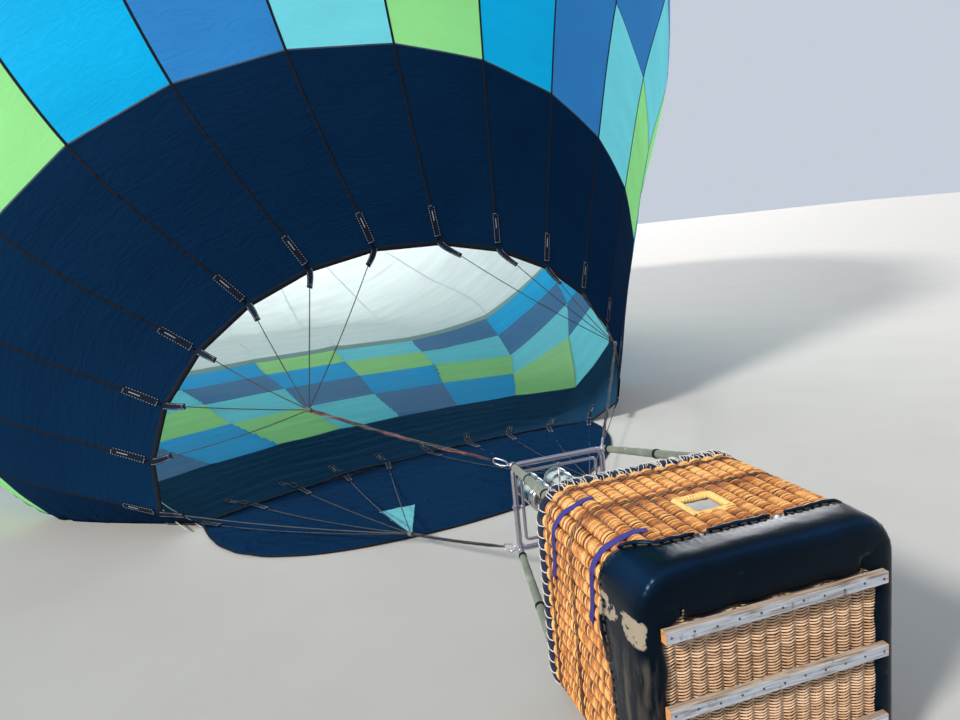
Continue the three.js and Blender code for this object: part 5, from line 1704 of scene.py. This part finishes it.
# Gimbal. A ring of thinner tube that tips in the frame's bearing blocks on two pins, and carries the
# burners on two more.
GIMBAL = {"half_x": 0.278, "half_z": 0.244, "bend": 0.030, "tube": 0.011, "boss": (0.021, 0.021, 0.026)}
PIN, PIN_GAP = 0.007, 0.0223
PIN_COLLAR = {"out": 0.012, "long": 0.005, "radius": 0.0135}
shape = Shape()
loop = rounded_loop(GIMBAL["half_x"], GIMBAL["half_z"], GIMBAL["bend"], frame_y)
tube(shape, loop, GIMBAL["tube"], 16, closed=True)
for sign in (-1, 1):
    start, stop = sign * GIMBAL["half_x"], sign * (FRAME_HALF_X - PIN_GAP)
    tube(shape, [at_frame(start, 0, 0), at_frame(stop, 0, 0)], PIN, 16)
    start += sign * PIN_COLLAR["out"]
    collar_ends = [at_frame(start, 0, 0), at_frame(start + sign * PIN_COLLAR["long"], 0, 0)]
    tube(shape, collar_ends, PIN_COLLAR["radius"], 20)
    soft_box(shape, at_frame(0, 0, sign * GIMBAL["half_z"]), GIMBAL["boss"], 0.002)
    bolt(shape, at_frame(0, 0, sign * (GIMBAL["half_z"] + 0.0125)), (0, 0, sign), 0.006, 0.004)
gimbal = new_piece("gimbal_tube", shape, [STAINLESS])
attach(gimbal, "gimbal")
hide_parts("gimbal_ring")

# Burners. A machined valve block carries two stainless cans side by side. Each has a coil of tube in
# which the fuel is warmed, a ring of jets, a blast lever and a pilot tap under the block.
CAN = {"radius": 0.098, "long": 0.340, "apart": 0.220, "low": 0.0253, "sides": 48, "skin": 0.0015}
BLOCK = {"size": (CAN["apart"] + 0.060, 0.070, 0.120), "down": 0.010, "soft": 0.006}
TRUNNION = {"from": 0.058, "to": 0.072, "radii": (0.020, 0.014), "pin_from": 0.055, "gap": 0.0133}
BLOCK_BOLTS = (-0.09, -0.03, 0.03, 0.09)
# how far under the frame and how wide each valve is; the lever's spindle and red grip
VALVE = {"places": (0.040, 0.056, 0.060, 0.105, 0.128), "radii": (0.021, 0.021, 0.015, 0.015, 0.011)}
GLAND_AT, GLAND_RADIUS, GLAND_HIGH = (-0.047, 0.019), 0.007, 0.006
LEVER = {"down": 0.118, "spindle": (0.012, -0.045), "spindle_radius": 0.0055,
         "grip": (-0.045, -0.052, -0.108, -0.114), "grip_radii": (0.006, 0.0088, 0.0082, 0.005)}
PILOT_TAP = {"down": 0.085, "reach": (0.012, 0.030), "radius": 0.006}
COIL = {"radius": 0.074, "tube": 0.0075, "turns": 7, "low": 0.085, "high": 0.300, "steps": 24}
JETS = {"ring": 0.040, "rise": 0.075, "bar": 0.008, "count": 12, "radius": 0.0035, "long": 0.010}
BURNER_STEEL = metal_finish("burner_stainless", (0.60, 0.60, 0.61), 0.26, streak=55.0)
HEAT_STEEL = metal_finish("heat_tinted_steel", (0.42, 0.36, 0.30), 0.36, streak=22.0, grime=0.20)
RED_GRIP, tree = new_finish("red_grip")
worn = scuffs(tree, position(tree), 40.0, 0.15)
solid_surface(tree, blend(tree, worn, (0.40, 0.018, 0.014), (0.20, 0.03, 0.02)), 0.45)

shape = Shape()
soft_box(shape, at_frame(0, -BLOCK["down"], 0), BLOCK["size"], BLOCK["soft"])
for sign in (-1, 1):
    pin = [at_frame(0, 0, sign * z) for z in (TRUNNION["pin_from"], GIMBAL["half_z"] - TRUNNION["gap"])]
    tube(shape, pin, PIN, 16)
    tube(shape, [at_frame(0, 0, sign * TRUNNION[end]) for end in ("from", "to")], TRUNNION["radii"], 20)
    for x in BLOCK_BOLTS:
        bolt(shape, at_frame(x, -BLOCK["down"], sign * BLOCK["size"][2] / 2), (0, 0, sign), 0.0055, 0.004)
shape.paint(0)
for sign in (-1, 1):
    x = sign * CAN["apart"] / 2
    tube(shape, [at_frame(x, -place, 0) for place in VALVE["places"]], VALVE["radii"], 20)
    bolt(shape, at_frame(x, *GLAND_AT), (0, 0, 1), GLAND_RADIUS, GLAND_HIGH)
    shape.paint(1)
    tube(shape, [at_frame(x, -LEVER["down"], z) for z in LEVER["spindle"]], LEVER["spindle_radius"], 12)
    shape.paint(0)
    tube(shape, [at_frame(x, -LEVER["down"], z) for z in LEVER["grip"]], LEVER["grip_radii"], 16)
    shape.paint(2)
    tap = [at_frame(x + sign * reach, -PILOT_TAP["down"], 0) for reach in PILOT_TAP["reach"]]
    tube(shape, tap, PILOT_TAP["radius"], 12)
    shape.paint(1)
block_piece = new_piece("valve_block", shape, [BURNER_STEEL, BRASS, RED_GRIP])
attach(block_piece, "burners")
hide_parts("burner_block")

radius, long = CAN["radius"], CAN["long"]
skin = radius - CAN["skin"]
# radius and place along the can: base, ribs, lip, then back down the inside to the jets' plate
CAN_PROFILE = [
    (0.0, 0.0), (radius - 0.022, 0.0), (radius - 0.008, 0.006), (skin, 0.020), (skin, 0.060), (radius, 0.063),
    (radius, 0.070), (skin, 0.073), (skin, long * 0.6), (radius, long * 0.61), (radius, long * 0.63),
    (skin, long * 0.64), (skin, long - 0.006), (radius, long - 0.004), (radius, long), (radius - 0.006, long),
    (radius - 0.006, 0.062), (0.034, 0.052), (0.034, 0.060), (0.0, 0.060),
]
for node, sign in [("burner_left", -1), ("burner_right", 1)]:
    shape = Shape()
    centre = at_frame(sign * CAN["apart"] / 2, CAN["low"], 0)
    turn_profile(shape, CAN_PROFILE, centre, CAN["sides"])
    air_holes = {3 * CAN["sides"] + k for k in range(CAN["sides"]) if k % 6 in (0, 1)}
    shape.faces = [face for number, face in enumerate(shape.faces) if number not in air_holes]
    shape.paint(0)
    steps = COIL["turns"] * COIL["steps"]
    coil = []
    for step in range(steps + 1):
        rise = COIL["low"] + (COIL["high"] - COIL["low"]) * step / steps
        coil.append(beside_axis(centre, COIL["radius"], rise, step / COIL["steps"] * math.tau))
    feed = np.add(coil[0], (-0.004, -0.030, 0))
    tube(shape, [feed, *coil], COIL["tube"], 8)
    shape.paint(1)
    ring = [beside_axis(centre, JETS["ring"], JETS["rise"], k / 24 * math.tau) for k in range(24)]
    tube(shape, ring, JETS["bar"], 8, closed=True)
    for k in range(JETS["count"]):
        at = beside_axis(centre, JETS["ring"], JETS["rise"] + 0.005, k / JETS["count"] * math.tau)
        tube(shape, [at, np.add(at, (0, JETS["long"], 0))], JETS["radius"], 8)
    for k in range(3):
        turn = k / 3 * math.tau + 0.3
        foot = beside_axis(centre, 0.032, 0.055, turn)
        tube(shape, [foot, beside_axis(centre, JETS["ring"], JETS["rise"], turn)], 0.004, 8)
    shape.paint(2)
    can_piece = new_piece(node + "_can", shape, [BURNER_STEEL, HEAT_STEEL, BRASS])
    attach(can_piece, "burners")
    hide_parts(node)

# Vent. A loose disc of white cloth closes the crown from inside, held by the blown air against the
# tapes that meet at the crown ring.
VENT = {"shares": [0.97, 0.88, 0.78, 0.66, 0.52, 0.38, 0.24, 0.12], "dome": 0.150, "inside": 0.020,
        "sides_per_gore": 6, "ripple": 0.006}
CROWN = {"ring": 0.160, "bar": 0.012, "out": 0.340, "tape_half": 0.018, "tape_proud": 0.0022}
edge_y, edge_x, edge_left, _, edge_tall, edge_z, edge_lean, _, _, edge_seam, _, _ = SECTIONS[-1]
vent_tilt = math.atan(edge_lean)


def dome_point(share, angle, lift):
    """A point over the crown's opening: how far out as a share of it, how far round, and how far outside."""
    x = -edge_left * share * math.cos(angle)
    z = edge_tall / math.cos(vent_tilt) * share * math.sin(angle)
    y = lift * math.cos(vent_tilt) - z * math.sin(vent_tilt) + edge_y - edge_lean * edge_z
    z = lift * math.sin(vent_tilt) + z * math.cos(vent_tilt) + edge_z
    return np.array(turned((x + edge_x, y, z), CLOTH_YAW))


vent_sides = GORES * VENT["sides_per_gore"]
lap_row = len(cloth) - 4
shape = Shape()
for j in range(vent_sides):
    column = j / VENT["sides_per_gore"] * COLUMNS
    low = int(column)
    t = column - low
    lap = cloth[lap_row, low] * (1 - t) + cloth[lap_row, (low + 1) % all_columns] * t
    shape.points.append(lap - cloth_out[lap_row, low] * VENT["inside"])
for share in VENT["shares"]:
    rise = VENT["dome"] * (1 - (share / VENT["shares"][0]) ** 2) - VENT["inside"]
    for j in range(vent_sides):
        angle = math.radians(edge_seam) + j / vent_sides * math.tau
        ripple = math.sin(j / VENT["sides_per_gore"] * math.pi) ** 2 * share + uneven(share * 5, j * 0.2, 3)
        shape.points.append(dome_point(share, angle, rise + ripple * VENT["ripple"] - 0.004))
shape.points.append(dome_point(0, 0, VENT["dome"] - VENT["inside"]))
rows = len(VENT["shares"]) + 1
shape.join_rows(0, rows, vent_sides)
for j in range(vent_sides):
    start = (rows - 1) * vent_sides
    shape.faces.append((start + j, start + (j + 1) % vent_sides, len(shape.points) - 1))
vent = new_piece("vent_cloth", shape, [PALE])
loose_cloth(vent, shape.points, 2, 0.3)
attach(vent, "vent")
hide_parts("vent_disc")

shape = Shape()
for seam in range(GORES):
    angle = math.radians(edge_seam) + seam / GORES * math.tau
    centre_end = dome_point(CROWN["ring"] / edge_left * 0.98, angle, CROWN["out"])
    column = seam * COLUMNS
    out = cloth_out[-1, column]
    edge_at = cloth[-1, column] + out * 0.004
    tail_at = cloth[-5, column] + cloth_out[-5, column] * 0.004
    mid_at = (centre_end + edge_at) / 2 - out * 0.008
    ribbon(shape, [centre_end, mid_at, edge_at, tail_at], [out] * 4, CROWN["tape_half"], CROWN["tape_proud"])
crown_tapes = new_piece("crown_tapes", shape, [WEBBING], smooth=False)
shape = Shape()
ring = [dome_point(CROWN["ring"] / edge_left, k / 48 * math.tau, CROWN["out"]) for k in range(48)]
tube(shape, ring, CROWN["bar"], 12, closed=True)
crown_link = new_piece("crown_ring_bar", shape, [TANK_STEEL])
for piece, slot in ((crown_tapes, "tape_web"), (crown_link, "frame_metal")):
    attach(piece, "balloon")
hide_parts("crown_ring")
